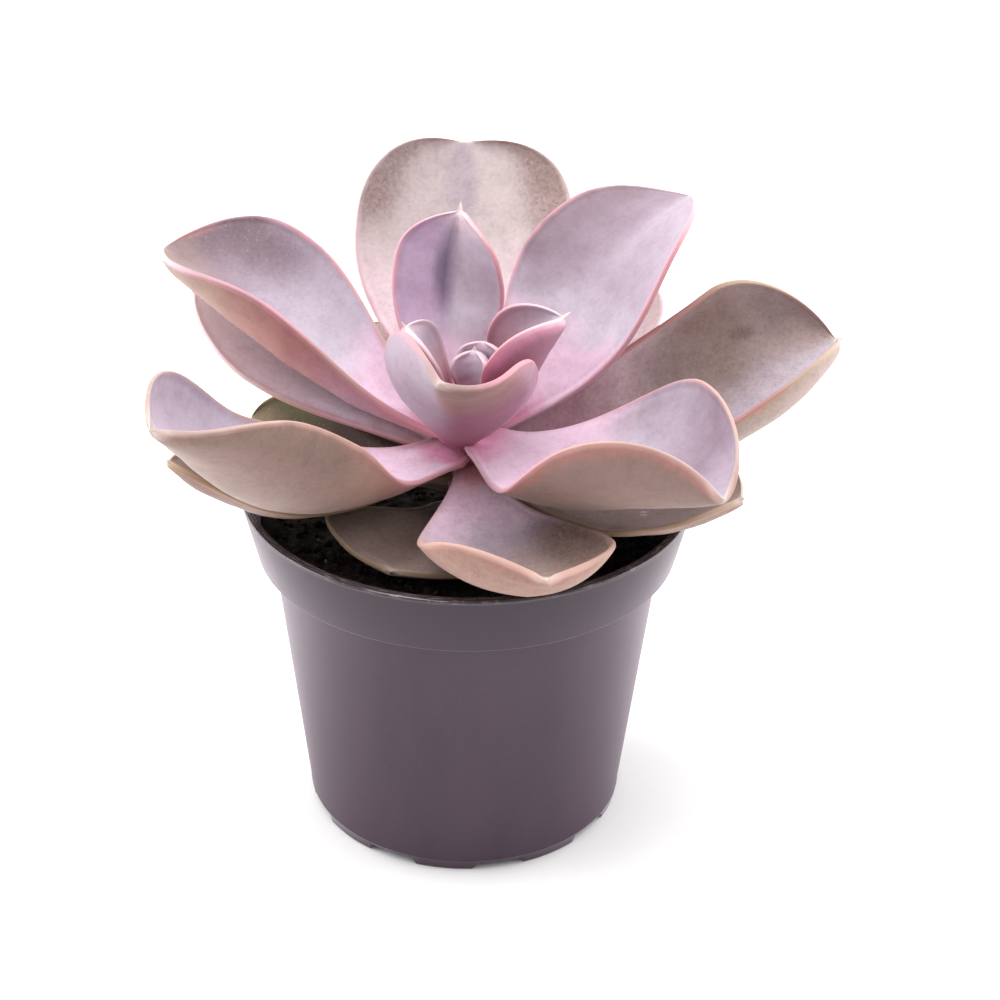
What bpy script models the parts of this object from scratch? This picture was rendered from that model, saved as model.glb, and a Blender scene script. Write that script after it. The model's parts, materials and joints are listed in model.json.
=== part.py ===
"""Potted echeveria: a rosette of fleshy leaves on a short stem, in a round nursery pot.

Metres, +Z up. The origin is the centre of the pot's underside, on the plane it stands on.
The side that faces the viewer is -Y. Tables and dimensions below are in millimetres and
degrees, and MM turns them into metres.
"""
from dataclasses import dataclass
from math import comb, cos, radians, sin, tau

import bmesh
import bpy
import numpy as np
from mathutils import Matrix

MM = 0.001

# Pot: a 10.5 cm nursery pot
POT_RIM_RADIUS = 52.5
POT_HEIGHT = 83.0
BAND_HEIGHT = 14.7
BAND_FOOT_RADIUS = 49.0
WALL_TOP_RADIUS = 45.5
WALL_FOOT_RADIUS = 37.7
WALL_THICKNESS = 1.3
LIP_WIDTH = 2.2
LIP_CHAMFER = 0.4
FLOOR_THICKNESS = 1.2
ROUND_STEPS = 72

# Foot ring under the pot, with gaps that let water out, and the pad at the centre
FOOT_HEIGHT = 1.8
FOOT_RING_WIDTH = 2.4
FOOT_COUNT = 9
FOOT_GAP_WIDTH = 11.8
FIRST_GAP_TURN = -77.0
FLOOR_UNDERSIDE = 2.0
PAD_RADIUS = 8.0
DRAIN_COUNT = 6
DRAIN_RADIUS = 3.5
DRAIN_CIRCLE = 24.0

# Soil and stem
GAP = 0.3
SOIL_BELOW_RIM = 9.0
SOIL_MOUND = 1.0
STEM_RADIUS = 4.8
STEM_DEPTH = 14.0
STEM_SHOULDER = 95.0
STEM_TOP = 105.3
STEM_DOME_RINGS = 5
STEM_STEPS = 24

# Tones of the skin: linear red, green and blue
POT_TONE = (0.125, 0.1, 0.12)
SOIL_TONE = (0.012, 0.009, 0.007)
STEM_TONE = (0.42, 0.3, 0.27)
LAVENDER = (0.62, 0.44, 0.6)
MAUVE = (0.45, 0.34, 0.38)
BRONZE = (0.3, 0.23, 0.2)
PINK = (0.66, 0.36, 0.46)


@dataclass
class Leaf:
    """One leaf. Tuples are Bezier values that run from its base to its tip.

    turn      direction it leaves the stem, counter-clockwise from +X
    height    of its base above the ground
    climb     slope of the midrib
    length    along the midrib, with the tip
    width     across the blade, following its curve
    cup       slope of the blade at its margin, so a flat leaf has 0 and a channel 90 or more
    twist     turn about the midrib; positive raises the counter-clockwise margin
    swing     sideways bend from base to tip
    out       distance of its base from the stem's axis
    shift     further move of its base along X and Y
    claw      width at the base, as a share of the full width
    fill      under 1 widens the claw between base and blade
    widest    where the blade is widest, as a share of the length
    blunt     fullness of the blade towards its tip
    corner    roundness of the blade's end
    thick     thickness of the flesh under the midrib
    lobe      how far the end of the margins reaches out past the midrib
    tip       length of the spine at the tip
    spine     width of that spine
    detail    points across each face, and rings along the leaf
    """
    turn: float
    height: float
    climb: tuple
    length: float
    width: float
    cup: tuple
    tone: tuple
    twist: tuple = (0, 0)
    swing: float = 0.0
    out: float = 5.2
    shift: tuple = (0.0, 0.0)
    claw: float = 0.2
    fill: float = 1.0
    widest: float = 0.62
    blunt: float = 2.4
    corner: float = 0.7
    thick: float = 4.5
    lobe: float = 0.0
    tip: float = 1.2
    spine: float = 1.6
    detail: tuple = (7, 16)


LEAVES = {
    # Old outer leaves that stand up
    "leaf_back": Leaf(
        turn=91.5, height=92.7, climb=(11, 51, 51), length=82.5, width=55, cup=(15, 3, 54),
        twist=(-4, -8, 7), claw=0.15, fill=0.84, widest=0.67, blunt=3, corner=0.38, tone=MAUVE),
    "leaf_right": Leaf(
        turn=22, height=88.6, climb=(-17, 36, 9), length=96.5, width=59.5, cup=(41, 146, 84),
        twist=(30, 51, 11), swing=0.5, out=5.4, claw=0.25, fill=0.66, widest=0.69, blunt=1.6,
        corner=0.64, thick=4.2, tip=3.5, spine=2.6, detail=(11, 18), tone=MAUVE),
    "leaf_back_right": Leaf(
        turn=47.5, height=95.9, climb=(10, 81, 12), length=78, width=44.5, cup=(-11, 67, 13),
        twist=(41, 11, -12), swing=-23, out=5, claw=0.16, fill=0.82, widest=0.65, blunt=3.1,
        corner=0.92, thick=4.3, tip=2.2, spine=2.4, tone=LAVENDER),
    "leaf_left_back": Leaf(
        turn=155.5, height=95.9, climb=(5, 49, 24), length=80, width=51, cup=(34, 122, 28),
        twist=(-4, 5, 1), swing=12, out=5, claw=0.23, widest=0.71, blunt=2.5, corner=0.82,
        thick=4.7, detail=(9, 18), tone=LAVENDER),
    "leaf_left_under": Leaf(
        turn=157, height=89.8, climb=(14, 22, 36), length=72, width=26.5, cup=(0, 5, 3),
        twist=(-5, -2, -5), swing=0.5, out=5.6, claw=0.18, fill=1.04, widest=0.67, blunt=1.7,
        corner=0.74, tone=LAVENDER),

    # Outer leaves of the front, rolled up at their sides
    "leaf_right_front": Leaf(
        turn=-34, height=96, climb=(-20, 19, 21), length=66.5, width=67, cup=(-12, 78, 93),
        twist=(-2, 11, -15), swing=-10, out=5.3, claw=0.23, fill=0.66, widest=0.63, blunt=1.6,
        corner=0.48, thick=2.3, detail=(11, 18), tone=LAVENDER),
    "leaf_left_front": Leaf(
        turn=212, height=92.9, climb=(-6, -28, 80, 37), length=88, width=51.5,
        cup=(-10, 66, 139, 62), twist=(-5, 12, 30, -18), swing=15, claw=0.26, fill=1.18,
        widest=0.45, blunt=3.3, corner=0.34, thick=3.4, lobe=1.5, tip=0.8, detail=(11, 20),
        tone=MAUVE),
    "leaf_front": Leaf(
        turn=-83, height=89.4, climb=(-14, -19, 47), length=60.5, width=46.5, cup=(-2, 46, 49),
        twist=(-7, 5, -19), swing=19, out=5.4, claw=0.17, fill=0.78, widest=0.74, blunt=1.8,
        corner=0.54, tone=LAVENDER),

    # Oldest leaves, low over the soil and the rim
    "leaf_right_low": Leaf(
        turn=-17.5, height=84, climb=(-10, 5, 30), length=62.5, width=37, cup=(-7, 2, 32),
        twist=(-12, -7, 1), swing=-7.5, claw=0.24, fill=0.98, widest=0.67, blunt=2.8, corner=0.64,
        detail=(7, 14), tone=BRONZE),
    "leaf_left_low": Leaf(
        turn=199, height=86.6, climb=(6, -38, 42, 45), length=70.5, width=25.5, cup=(2, 18, 39),
        twist=(-7, 12, -6), swing=8, out=6, shift=(0, 1), claw=0.3, widest=0.63, corner=0.72,
        thick=2.4, tone=BRONZE),
    "leaf_front_left_low": Leaf(
        turn=-119.5, height=77.9, climb=(-4, -7, 21), length=34, width=46, cup=(1, 34, 5),
        twist=(1, -6, -2), swing=8.5, claw=0.3, widest=0.59, blunt=1.6, corner=0.66, thick=2.4,
        detail=(7, 12), tone=BRONZE),
    "leaf_back_left_low": Leaf(
        turn=153.5, height=81.3, climb=(4, 20, -7), length=53.5, width=25, cup=(9, 13, 49),
        twist=(1, 4, -13), swing=6.5, widest=0.64, blunt=2.2, corner=0.48, detail=(7, 12),
        tone=BRONZE),
    "leaf_behind_right": Leaf(
        turn=59.5, height=84.1, climb=(5, 16, 31), length=76.5, width=22.5, cup=(10, 17, 26),
        twist=(0, 1, -3), swing=-15.5, claw=0.25, widest=0.77, blunt=2.3, corner=0.62,
        detail=(7, 14), tone=MAUVE),
    "leaf_back_low": Leaf(
        turn=116, height=85.8, climb=(5, 8, 20), length=60, width=38, cup=(10, 20, 20),
        corner=0.6, detail=(7, 12), tone=BRONZE),

    # Young leaves of the heart
    "leaf_inner_back": Leaf(
        turn=114.5, height=99.4, climb=(49, 62, 80), length=49, width=28, cup=(18, 23, 53),
        twist=(-5, -2, -8), swing=-58, out=4.6, claw=0.43, fill=0.8, widest=0.65, blunt=3.1,
        corner=0.78, tip=2.5, spine=2.2, detail=(7, 14), tone=LAVENDER),
    "heart_leaf_front": Leaf(
        turn=-96, height=96.1, climb=(75, 32, 35), length=38.5, width=43.5, cup=(-2, 128, 38),
        twist=(-14, 13, -34), swing=-2.5, shift=(-2.2, 0.2), claw=0.18, fill=0.74, widest=0.41,
        blunt=1.9, corner=0.66, thick=3.8, detail=(9, 14), tone=PINK),
    "heart_leaf_right": Leaf(
        turn=-1, height=100.9, climb=(40, 89, 34), length=32, width=30, cup=(47, 122, 87),
        twist=(-11, -4, 14), swing=2, out=4.1, claw=0.36, fill=0.94, widest=0.47, blunt=2.7,
        corner=0.92, thick=3.8, tip=2.2, spine=2, detail=(7, 12), tone=PINK),
    "heart_leaf_left": Leaf(
        turn=178, height=102.5, climb=(54, 73, 56), length=24.5, width=18.5, cup=(46, 47, 59),
        twist=(0, 1, -9), swing=5, out=3.3, claw=0.41, fill=0.96, widest=0.61, blunt=2.5,
        corner=0.76, tip=1.8, detail=(7, 10), tone=PINK),
    "heart_bud": Leaf(
        turn=70, height=105.6, climb=(75,), length=12, width=11, cup=(50, 80, 70), out=0,
        shift=(0.2, -1), claw=0.4, widest=0.55, detail=(5, 8), tone=LAVENDER),
}
MARGIN_HALF = 0.8
RING_PACKING = 1.25


# Scene, collections and materials
def clear_scene():
    for obj in list(bpy.data.objects):
        bpy.data.objects.remove(obj, do_unlink=True)


def new_collection(name):
    collection = bpy.data.collections.new(name)
    bpy.context.scene.collection.children.link(collection)
    return collection


def new_material(name, tone, roughness):
    material = bpy.data.materials.new(name)
    material.use_nodes = True
    shader = material.node_tree.nodes["Principled BSDF"]
    shader.inputs["Base Color"].default_value = (*tone, 1.0)
    shader.inputs["Roughness"].default_value = roughness
    shader.inputs["Metallic"].default_value = 0.0
    material.diffuse_color = (*tone, 1.0)
    return material


def add_part(name, mesh, tone, roughness, collection, parent):
    obj = bpy.data.objects.new(name, mesh)
    obj.data.materials.append(new_material(name + " surface", tone, roughness))
    collection.objects.link(obj)
    obj.parent = parent
    return obj


# Turned pieces
def turned_piece(name, profile, steps, tone, roughness, collection, parent):
    """A piece turned about Z from (radius, height) points that start and end on the axis."""
    mesh = bpy.data.meshes.new(name)
    points = [(radius * MM, 0.0, height * MM) for radius, height in profile]
    edges = [(k, k + 1) for k in range(len(points) - 1)]
    mesh.from_pydata(points, edges, [])
    obj = add_part(name, mesh, tone, roughness, collection, parent)
    screw = obj.modifiers.new("turn", "SCREW")
    screw.axis = "Z"
    screw.angle = tau
    screw.steps = steps
    screw.render_steps = steps
    screw.use_merge_vertices = True
    screw.merge_threshold = 0.00001
    screw.use_smooth_shade = True
    return obj


def wall_radius(height):
    """Outer radius of the plain wall below the band."""
    share = height / (POT_HEIGHT - BAND_HEIGHT)
    return WALL_FOOT_RADIUS + (WALL_TOP_RADIUS - WALL_FOOT_RADIUS) * share


def pot_inside():
    """Inner face of the pot, from the floor's edge up to the lip."""
    floor_top = FLOOR_UNDERSIDE + FLOOR_THICKNESS
    shoulder = POT_HEIGHT - BAND_HEIGHT
    return [
        (wall_radius(floor_top) - WALL_THICKNESS, floor_top),
        (WALL_TOP_RADIUS - WALL_THICKNESS, shoulder - WALL_THICKNESS),
        (BAND_FOOT_RADIUS - WALL_THICKNESS, shoulder + WALL_THICKNESS),
        (POT_RIM_RADIUS - LIP_WIDTH, POT_HEIGHT - LIP_CHAMFER),
    ]


def make_pot(collection, parent):
    shoulder = POT_HEIGHT - BAND_HEIGHT
    floor_top = FLOOR_UNDERSIDE + FLOOR_THICKNESS
    lip_inner = POT_RIM_RADIUS - LIP_WIDTH
    ring_inner = WALL_FOOT_RADIUS - FOOT_RING_WIDTH
    profile = [(0.0, floor_top)]
    profile += pot_inside()
    profile += [
        (lip_inner + LIP_CHAMFER, POT_HEIGHT),
        (POT_RIM_RADIUS - LIP_CHAMFER, POT_HEIGHT),
        (POT_RIM_RADIUS, POT_HEIGHT - LIP_CHAMFER),
        (BAND_FOOT_RADIUS + 0.1, shoulder + LIP_CHAMFER),
        (BAND_FOOT_RADIUS - LIP_CHAMFER, shoulder),
        (WALL_TOP_RADIUS, shoulder),
        (wall_radius(FOOT_HEIGHT), FOOT_HEIGHT),
        (WALL_FOOT_RADIUS - LIP_CHAMFER, 0.0),
        (ring_inner, 0.0),
        (ring_inner, FLOOR_UNDERSIDE),
        (PAD_RADIUS, FLOOR_UNDERSIDE),
        (PAD_RADIUS, 0.0),
        (0.0, 0.0),
    ]
    return turned_piece("pot", profile, ROUND_STEPS, POT_TONE, 0.42, collection, parent)


def make_soil(collection, parent):
    """The potting mix: it follows the inside of the pot and has a plain hole for the stem."""
    edge_height = POT_HEIGHT - SOIL_BELOW_RIM
    inside = pot_inside()
    low_radius, low_height = inside[0]
    neck_radius, neck_height = inside[1]
    step_radius, step_height = inside[2]
    lip_radius, lip_height = inside[3]
    share = (edge_height - step_height) / (lip_height - step_height)
    edge_radius = step_radius + (lip_radius - step_radius) * share - GAP
    hole_radius = STEM_RADIUS + GAP
    hole_floor = edge_height - STEM_DEPTH
    profile = [
        (0.0, hole_floor),
        (hole_radius, hole_floor),
        (hole_radius, edge_height + SOIL_MOUND),
        (0.55 * edge_radius, edge_height + 0.6 * SOIL_MOUND),
        (edge_radius, edge_height),
        (step_radius - GAP, step_height + GAP),
        (neck_radius - GAP, neck_height),
        (low_radius - GAP, low_height + GAP),
        (0.0, low_height + GAP),
    ]
    return turned_piece("soil", profile, ROUND_STEPS, SOIL_TONE, 0.95, collection, parent)


def make_stem(collection, parent):
    """A plain stem that narrows to a dome where the young leaves grow."""
    foot = POT_HEIGHT - SOIL_BELOW_RIM - STEM_DEPTH + GAP
    profile = []
    for k in range(STEM_DOME_RINGS + 1):
        rise = 1 - (k / STEM_DOME_RINGS) ** 2
        radius = STEM_RADIUS * (1 - rise ** 1.25) ** 0.5
        profile.append((radius, STEM_SHOULDER + (STEM_TOP - STEM_SHOULDER) * rise))
    profile += [(STEM_RADIUS, foot), (0.0, foot)]
    return turned_piece("stem", profile, STEM_STEPS, STEM_TONE, 0.7, collection, parent)


# Cuts in the pot
def cutter_object(name, bm, collection):
    mesh = bpy.data.meshes.new(name)
    bm.to_mesh(mesh)
    bm.free()
    obj = bpy.data.objects.new(name, mesh)
    obj.display_type = "WIRE"
    obj.hide_render = True
    collection.objects.link(obj)
    return obj


def foot_gap_cutter(collection):
    """Nine bars that part the foot ring into feet."""
    depth = 4.0 * FOOT_RING_WIDTH
    drop = 1.0
    size = Matrix.Diagonal((depth * MM, FOOT_GAP_WIDTH * MM, (FOOT_HEIGHT + drop) * MM, 1.0))
    place = Matrix.Translation((WALL_FOOT_RADIUS * MM, 0.0, (FOOT_HEIGHT - drop) / 2 * MM))
    bm = bmesh.new()
    for k in range(FOOT_COUNT):
        turn = Matrix.Rotation(radians(FIRST_GAP_TURN) + k * tau / FOOT_COUNT, 4, "Z")
        bmesh.ops.create_cube(bm, size=1.0, matrix=turn @ place @ size)
    return cutter_object("foot_gaps", bm, collection)


def drain_cutter(collection):
    """Round holes through the floor."""
    bm = bmesh.new()
    for k in range(DRAIN_COUNT):
        turn = Matrix.Rotation((k + 0.5) * tau / DRAIN_COUNT, 4, "Z")
        place = Matrix.Translation((DRAIN_CIRCLE * MM, 0.0, FLOOR_UNDERSIDE * MM))
        bmesh.ops.create_cone(
            bm, cap_ends=True, segments=16, radius1=DRAIN_RADIUS * MM, radius2=DRAIN_RADIUS * MM,
            depth=4.0 * FLOOR_THICKNESS * MM, matrix=turn @ place)
    return cutter_object("drain_holes", bm, collection)


def cut(obj, cutter):
    boolean = obj.modifiers.new(cutter.name, "BOOLEAN")
    boolean.operation = "DIFFERENCE"
    boolean.solver = "EXACT"
    boolean.object = cutter


# Leaves
def bezier(values, t):
    """A smooth run through the control values, for t from 0 at the base to 1 at the tip."""
    last = len(values) - 1
    return sum(comb(last, k) * (1 - t) ** (last - k) * t ** k * value
               for k, value in enumerate(values))


def half_width(leaf, t):
    """Half the blade's width: a claw that widens, a rounded end and a small spine."""
    grow = np.clip(t / leaf.widest, 0, 1)
    rise = leaf.claw + (1 - leaf.claw) * (0.5 - 0.5 * np.cos(np.pi * grow)) ** leaf.fill
    body_end = 1 - leaf.tip / leaf.length
    shrink = np.clip((t - leaf.widest) / (body_end - leaf.widest), 0, 1)
    fall = (1 - shrink ** leaf.blunt) ** leaf.corner
    spine_start = 1 - 2.4 * leaf.tip / leaf.length
    taper = np.clip((1 - t) / (1 - spine_start), 0, 1) ** 0.8
    spine = leaf.spine / leaf.width * taper * (t > spine_start - 0.05)
    end = (fall ** 3 + spine ** 3) ** (1 / 3)
    return leaf.width / 2 * np.where(t < leaf.widest, rise, end)


def midrib(leaf, t):
    """Points of the midrib, with the directions along, across and out of the blade."""
    fine = np.linspace(0, 1, 201)

    def heading(at):
        climb = np.radians(bezier(leaf.climb, at))
        swing = np.radians(leaf.swing * at)
        along = [np.cos(climb) * np.cos(swing), np.cos(climb) * np.sin(swing), np.sin(climb)]
        return np.stack(along, -1), swing

    step = heading(fine)[0] * leaf.length / 200
    path = np.vstack([[0, 0, 0], np.cumsum((step[1:] + step[:-1]) / 2, 0)])
    points = np.stack([np.interp(t, fine, path[:, k]) for k in range(3)], -1)
    along, swing = heading(t)
    across = np.stack([-np.sin(swing), np.cos(swing), 0 * swing], -1)
    outward = np.cross(along, across)
    twist = np.radians(bezier(leaf.twist, t))[:, None]
    turned_across = np.cos(twist) * across + np.sin(twist) * outward
    turned_outward = np.cos(twist) * outward - np.sin(twist) * across
    return points, along, turned_across, turned_outward


def section(count):
    """Points round the blade: share of the half width, face (1 upper, -1 lower) and edge."""
    shares = np.cos(np.linspace(0, np.pi, count))
    upper = [(share, 1, 0) for share in shares]
    lower = [(-share, -1, 0) for share in shares]
    return upper + [(-1, 0, 1)] + lower + [(1, 0, 1)]


def leaf_rings(leaf, count, rings):
    """Points of the blade, ring by ring from its base, and round each ring by section."""
    body_end = 1 - 1.15 * leaf.tip / leaf.length
    spread = np.linspace(0, 1, rings - 2)
    body = body_end * (1 - (1 - spread) ** RING_PACKING)
    t = np.concatenate([body, [body_end + (1 - body_end) * share for share in (0.45, 0.9)]])
    points, along, across, outward = midrib(leaf, t)
    width = half_width(leaf, t)
    edge = np.minimum(MARGIN_HALF, 0.45 * width)
    flesh = np.minimum(leaf.thick * (0.3 + 1.8 * t - 1.95 * t ** 2), 0.7 * width)
    curl = np.radians(bezier(leaf.cup, t)) / width
    curl = np.where(np.abs(curl) < 1e-6, 1e-6, curl)
    columns = []
    for share, face, rim in section(count):
        side = 1 if share >= 0 else -1
        run = abs(share) * np.maximum(width - edge, 0)
        lift = edge * face
        if face:
            lift = lift + (0.2 if face > 0 else -0.8) * flesh * (1 - share ** 2)
        sideways = np.sin(curl * run) / curl + np.cos(curl * run) * edge * rim
        sideways = sideways - np.sin(curl * run) * lift
        upward = (1 - np.cos(curl * run)) / curl + np.sin(curl * run) * edge * rim
        upward = upward + np.cos(curl * run) * lift
        forward = leaf.lobe * share ** 2 * t ** 2
        columns.append(points + (side * sideways)[:, None] * across
                       + upward[:, None] * outward + forward[:, None] * along)
    tip = midrib(leaf, np.array([1.0]))[0][0]
    return np.stack(columns, 1), tip


def make_leaf(name, leaf, collection, parent):
    """A ball whose rings are drawn out into the sections of a blade, from base to tip."""
    count, rings = leaf.detail
    around = 2 * count + 2
    grid, tip = leaf_rings(leaf, count, rings)
    bm = bmesh.new()
    bmesh.ops.create_uvsphere(bm, u_segments=around, v_segments=rings + 1, radius=1.0)
    for vert in bm.verts:
        x, y, z = vert.co
        ring = round(np.arccos(np.clip(z, -1, 1)) / np.pi * (rings + 1))
        spoke = round(np.arctan2(y, x) / tau * around) % around
        if ring == 0:
            place = grid[0].mean(0)
        elif ring == rings + 1:
            place = tip
        else:
            place = grid[ring - 1][spoke]
        vert.co = place * MM
    if bm.calc_volume(signed=True) < 0:
        bmesh.ops.reverse_faces(bm, faces=bm.faces)
    mesh = bpy.data.meshes.new(name)
    bm.to_mesh(mesh)
    bm.free()
    mesh.shade_smooth()
    obj = add_part(name, mesh, leaf.tone, 0.55, collection, parent)
    turn = radians(leaf.turn)
    obj.location = (
        (leaf.out * cos(turn) + leaf.shift[0]) * MM,
        (leaf.out * sin(turn) + leaf.shift[1]) * MM,
        leaf.height * MM,
    )
    obj.rotation_euler = (0.0, 0.0, turn)
    return obj


def main():
    clear_scene()
    parts = new_collection("potted echeveria")
    cutters = new_collection("cutters")
    plant = bpy.data.objects.new("plant", None)
    parts.objects.link(plant)
    pot = make_pot(parts, plant)
    cut(pot, foot_gap_cutter(cutters))
    cut(pot, drain_cutter(cutters))
    make_soil(parts, plant)
    make_stem(parts, plant)
    for name, leaf in LEAVES.items():
        make_leaf(name, leaf, parts, plant)


main()
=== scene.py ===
"""Dresses the potted echeveria: pot, potting mix, stem, leaves and a pale studio.

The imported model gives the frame, in metres with +Z up. Tables and dimensions here are in
millimetres and degrees, and MM turns them into metres. A leaf's shape comes from the same
table and formula as its solid, drawn finer.
"""

import json
from dataclasses import dataclass
from math import comb, cos, radians, sin, tau

import bmesh
import bpy
import numpy as np
from bpy.props import FloatProperty, FloatVectorProperty, IntProperty, PointerProperty
from mathutils import Matrix, Vector, noise


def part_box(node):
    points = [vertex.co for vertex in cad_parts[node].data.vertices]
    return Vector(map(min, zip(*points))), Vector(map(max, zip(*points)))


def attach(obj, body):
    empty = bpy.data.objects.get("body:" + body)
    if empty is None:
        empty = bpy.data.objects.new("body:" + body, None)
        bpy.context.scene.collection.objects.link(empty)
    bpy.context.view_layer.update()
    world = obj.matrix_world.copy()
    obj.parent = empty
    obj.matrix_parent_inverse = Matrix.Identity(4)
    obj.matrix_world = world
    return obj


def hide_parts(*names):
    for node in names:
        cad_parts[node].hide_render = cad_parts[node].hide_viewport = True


bl_info = {
    "name": "Potted Echeveria",
    "version": (1, 0, 0),
    "blender": (4, 5, 0),
    "location": "3D Viewport > Sidebar > Echeveria",
    "description": "Builds the pot, potting mix, stem and leaves of an echeveria, and a studio",
    "category": "Object",
}

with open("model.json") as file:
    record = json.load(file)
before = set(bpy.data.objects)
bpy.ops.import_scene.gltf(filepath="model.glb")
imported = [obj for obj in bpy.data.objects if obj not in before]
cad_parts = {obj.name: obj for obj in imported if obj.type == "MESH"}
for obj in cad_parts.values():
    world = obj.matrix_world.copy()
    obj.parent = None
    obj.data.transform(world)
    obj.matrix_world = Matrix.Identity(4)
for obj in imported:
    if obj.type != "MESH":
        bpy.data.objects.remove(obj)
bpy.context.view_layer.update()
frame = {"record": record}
MM = 0.001
SEED = 7


def linear(colour):
    """Linear red, green and blue of an sRGB hex colour."""
    values = [int(colour[k:k + 2], 16) / 255 for k in (1, 3, 5)]
    return [v / 12.92 if v <= 0.04045 else ((v + 0.055) / 1.055) ** 2.4 for v in values]


# Tones of the living skin, and what each is seen on
TONES = {
    # Painted light: the palest tone brightens a blade that lies in another leaf's shade
    "painted_light": ("#EFE4EE", "untouched bloom in the shelter of another leaf"),
    "pearl": ("#C3B9C6", "lavender-white bloom, thick and unrubbed"),
    "haze": ("#AC9DAB", "thinner bloom over grey-green skin"),
    # Painted shade: bloom darkened on the half of a folded blade that turns from the light, and
    # towards the ends of blades
    "mauve": ("#8F7B89", "thin bloom in the hollow of a blade"),
    # Painted shade: a darker grey-mauve on the shaded half of a folded blade and near the end of
    # another
    "dusk": ("#7C6770", "bare skin beside the far margins"),
    "violet": ("#BB9EBB", "bloom on the young blade at the back"),
    "slate": ("#6C5D74", "skin where water ran the bloom off"),
    "greige": ("#CABCBB", "dry pale bloom of the oldest upright leaf"),
    "fawn": ("#A7928F", "rubbed bloom by an old margin"),
    "taupe": ("#9C867D", "old grey-brown skin"),
    "bark": ("#7C6459", "dark brown skin under the margins"),
    # Also painted shade, low on a leaf that lies under others
    "umber": ("#54403A", "oldest skin, nearly bare"),
    "olive": ("#5F5B3B", "green showing through old skin"),
    "tan": ("#8D736B", "warm underside"),
    "sand": ("#A8928A", "pale underside"),
    "apricot": ("#A27F72", "warm underside of an outer leaf"),
    "clay": ("#AE746F", "reddened underside by the margin"),
    "orchid": ("#DFC1D5", "pink-lilac of the leaf bases"),
    "fuchsia": ("#D78FAF", "bright pink where a claw joins the stem"),
    "petal": ("#E6D4DA", "pale pinkish bloom low on an old blade"),
    "rose": ("#BA929E", "pink of the heart leaves"),
    "wine": ("#A37082", "darker pink of the heart"),
    "plum": ("#9C4C68", "deep pink in the folds of the heart"),
    "coral": ("#D0919A", "strong pink margin"),
    "blush": ("#D9C0C7", "pale pink margin"),
    "peach": ("#C69F93", "margin turned warm with age"),
    "khaki": ("#A68C70", "margin of the oldest leaves"),
    "cream": ("#E6DBD2", "dry spine at a tip"),
}


# Settings that a user would change
class PotSettings(bpy.types.PropertyGroup):
    """Sizes and colour of the pot."""
    rim_radius: FloatProperty(
        name="Rim radius", description="Outer radius of the lip", unit="LENGTH",
        default=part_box("pot")[1].x)
    height: FloatProperty(
        name="Height", description="Height of the lip above the ground", unit="LENGTH",
        default=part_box("pot")[1].z)
    steps: IntProperty(
        name="Steps", description="Steps round the pot", default=288, min=72, max=720)
    plastic: FloatVectorProperty(
        name="Plastic", description="Colour of the moulded plastic", subtype="COLOR",
        min=0, max=1, default=linear("#42323F"))


class SoilSettings(bpy.types.PropertyGroup):
    """Grain and colour of the potting mix."""
    crumb: FloatProperty(
        name="Crumb", description="Height of the lumps in the surface", unit="LENGTH",
        default=1.1 * MM, min=0)
    crumbs: IntProperty(
        name="Loose crumbs", description="Number of loose lumps", default=520, min=0)
    grains: IntProperty(
        name="Pale grains", description="Number of pale mineral grains", default=46, min=0)
    peat: FloatVectorProperty(
        name="Peat", description="Colour of the moist peat", subtype="COLOR",
        min=0, max=1, default=linear("#1E1713"))


class LeafSettings(bpy.types.PropertyGroup):
    """Fineness and relief of the leaves."""
    grain: FloatProperty(
        name="Mesh spacing", description="Distance between points across a blade",
        unit="LENGTH", default=1.1 * MM, min=0.5 * MM)
    margin: FloatProperty(
        name="Margin", description="Half the thickness of the margin", unit="LENGTH",
        default=0.66 * MM, min=0.3 * MM)
    ripple: FloatProperty(
        name="Ripple", description="Unevenness of the blade", unit="LENGTH",
        default=0.16 * MM, min=0)


class SkinTones(bpy.types.PropertyGroup):
    """Tones of the leaf skin."""
    __annotations__ = {
        tone: FloatVectorProperty(
            name=tone.capitalize(), description=note.capitalize(), subtype="COLOR",
            min=0, max=1, default=linear(colour))
        for tone, (colour, note) in TONES.items()
    }


class StudioSettings(bpy.types.PropertyGroup):
    """Floor, light and camera."""
    floor: FloatVectorProperty(
        name="Floor", description="Colour of the floor", subtype="COLOR",
        min=0, max=1, default=linear("#FAFAFA"))
    sky: FloatProperty(
        name="Ambient light", description="Strength of the light from all round",
        default=1.05, min=0)
    top: FloatProperty(
        name="Top light", description="Power of the soft light overhead", unit="POWER",
        default=9.0, min=0)
    side: FloatProperty(
        name="Side lights", description="Power of the wide light at each side", unit="POWER",
        default=11.0, min=0)
    lens: FloatProperty(
        name="Lens", description="Focal length on a 36 mm sensor, in millimetres",
        default=78.26, min=20)
    distance: FloatProperty(
        name="Distance", description="From the camera to the middle of the plant",
        unit="LENGTH", default=525 * MM, min=0.2)
    elevation: FloatProperty(
        name="Elevation", description="Height of the camera over the plant's middle, as an angle",
        subtype="ANGLE", default=radians(32.65))


# Nodes, materials and meshes
def connect(tree, node, links):
    """Gives sockets of a node a value each, or the output of another node."""
    for socket, value in links.items():
        if isinstance(value, bpy.types.NodeSocket):
            tree.links.new(value, node.inputs[socket])
        else:
            node.inputs[socket].default_value = value


def add_node(tree, kind, links=None, out=0, stops=None, **settings):
    """Adds a node with its settings, links and a ramp's colour stops; returns one output."""
    node = tree.nodes.new("ShaderNode" + kind)
    for name, value in settings.items():
        setattr(node, name, value)
    connect(tree, node, links or {})
    if stops:
        elements = node.color_ramp.elements
        while len(elements) < len(stops):
            elements.new(1.0)
        for element, (position, colour) in zip(elements, stops):
            element.position = position
            element.color = colour
    return node.outputs[out]


# Makes a Mix node mix colours, with its inputs and output for them
OF_COLOURS = {"data_type": "RGBA", "out": 2}
MIX_FACTOR, MIX_A, MIX_B = 0, 6, 7
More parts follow.
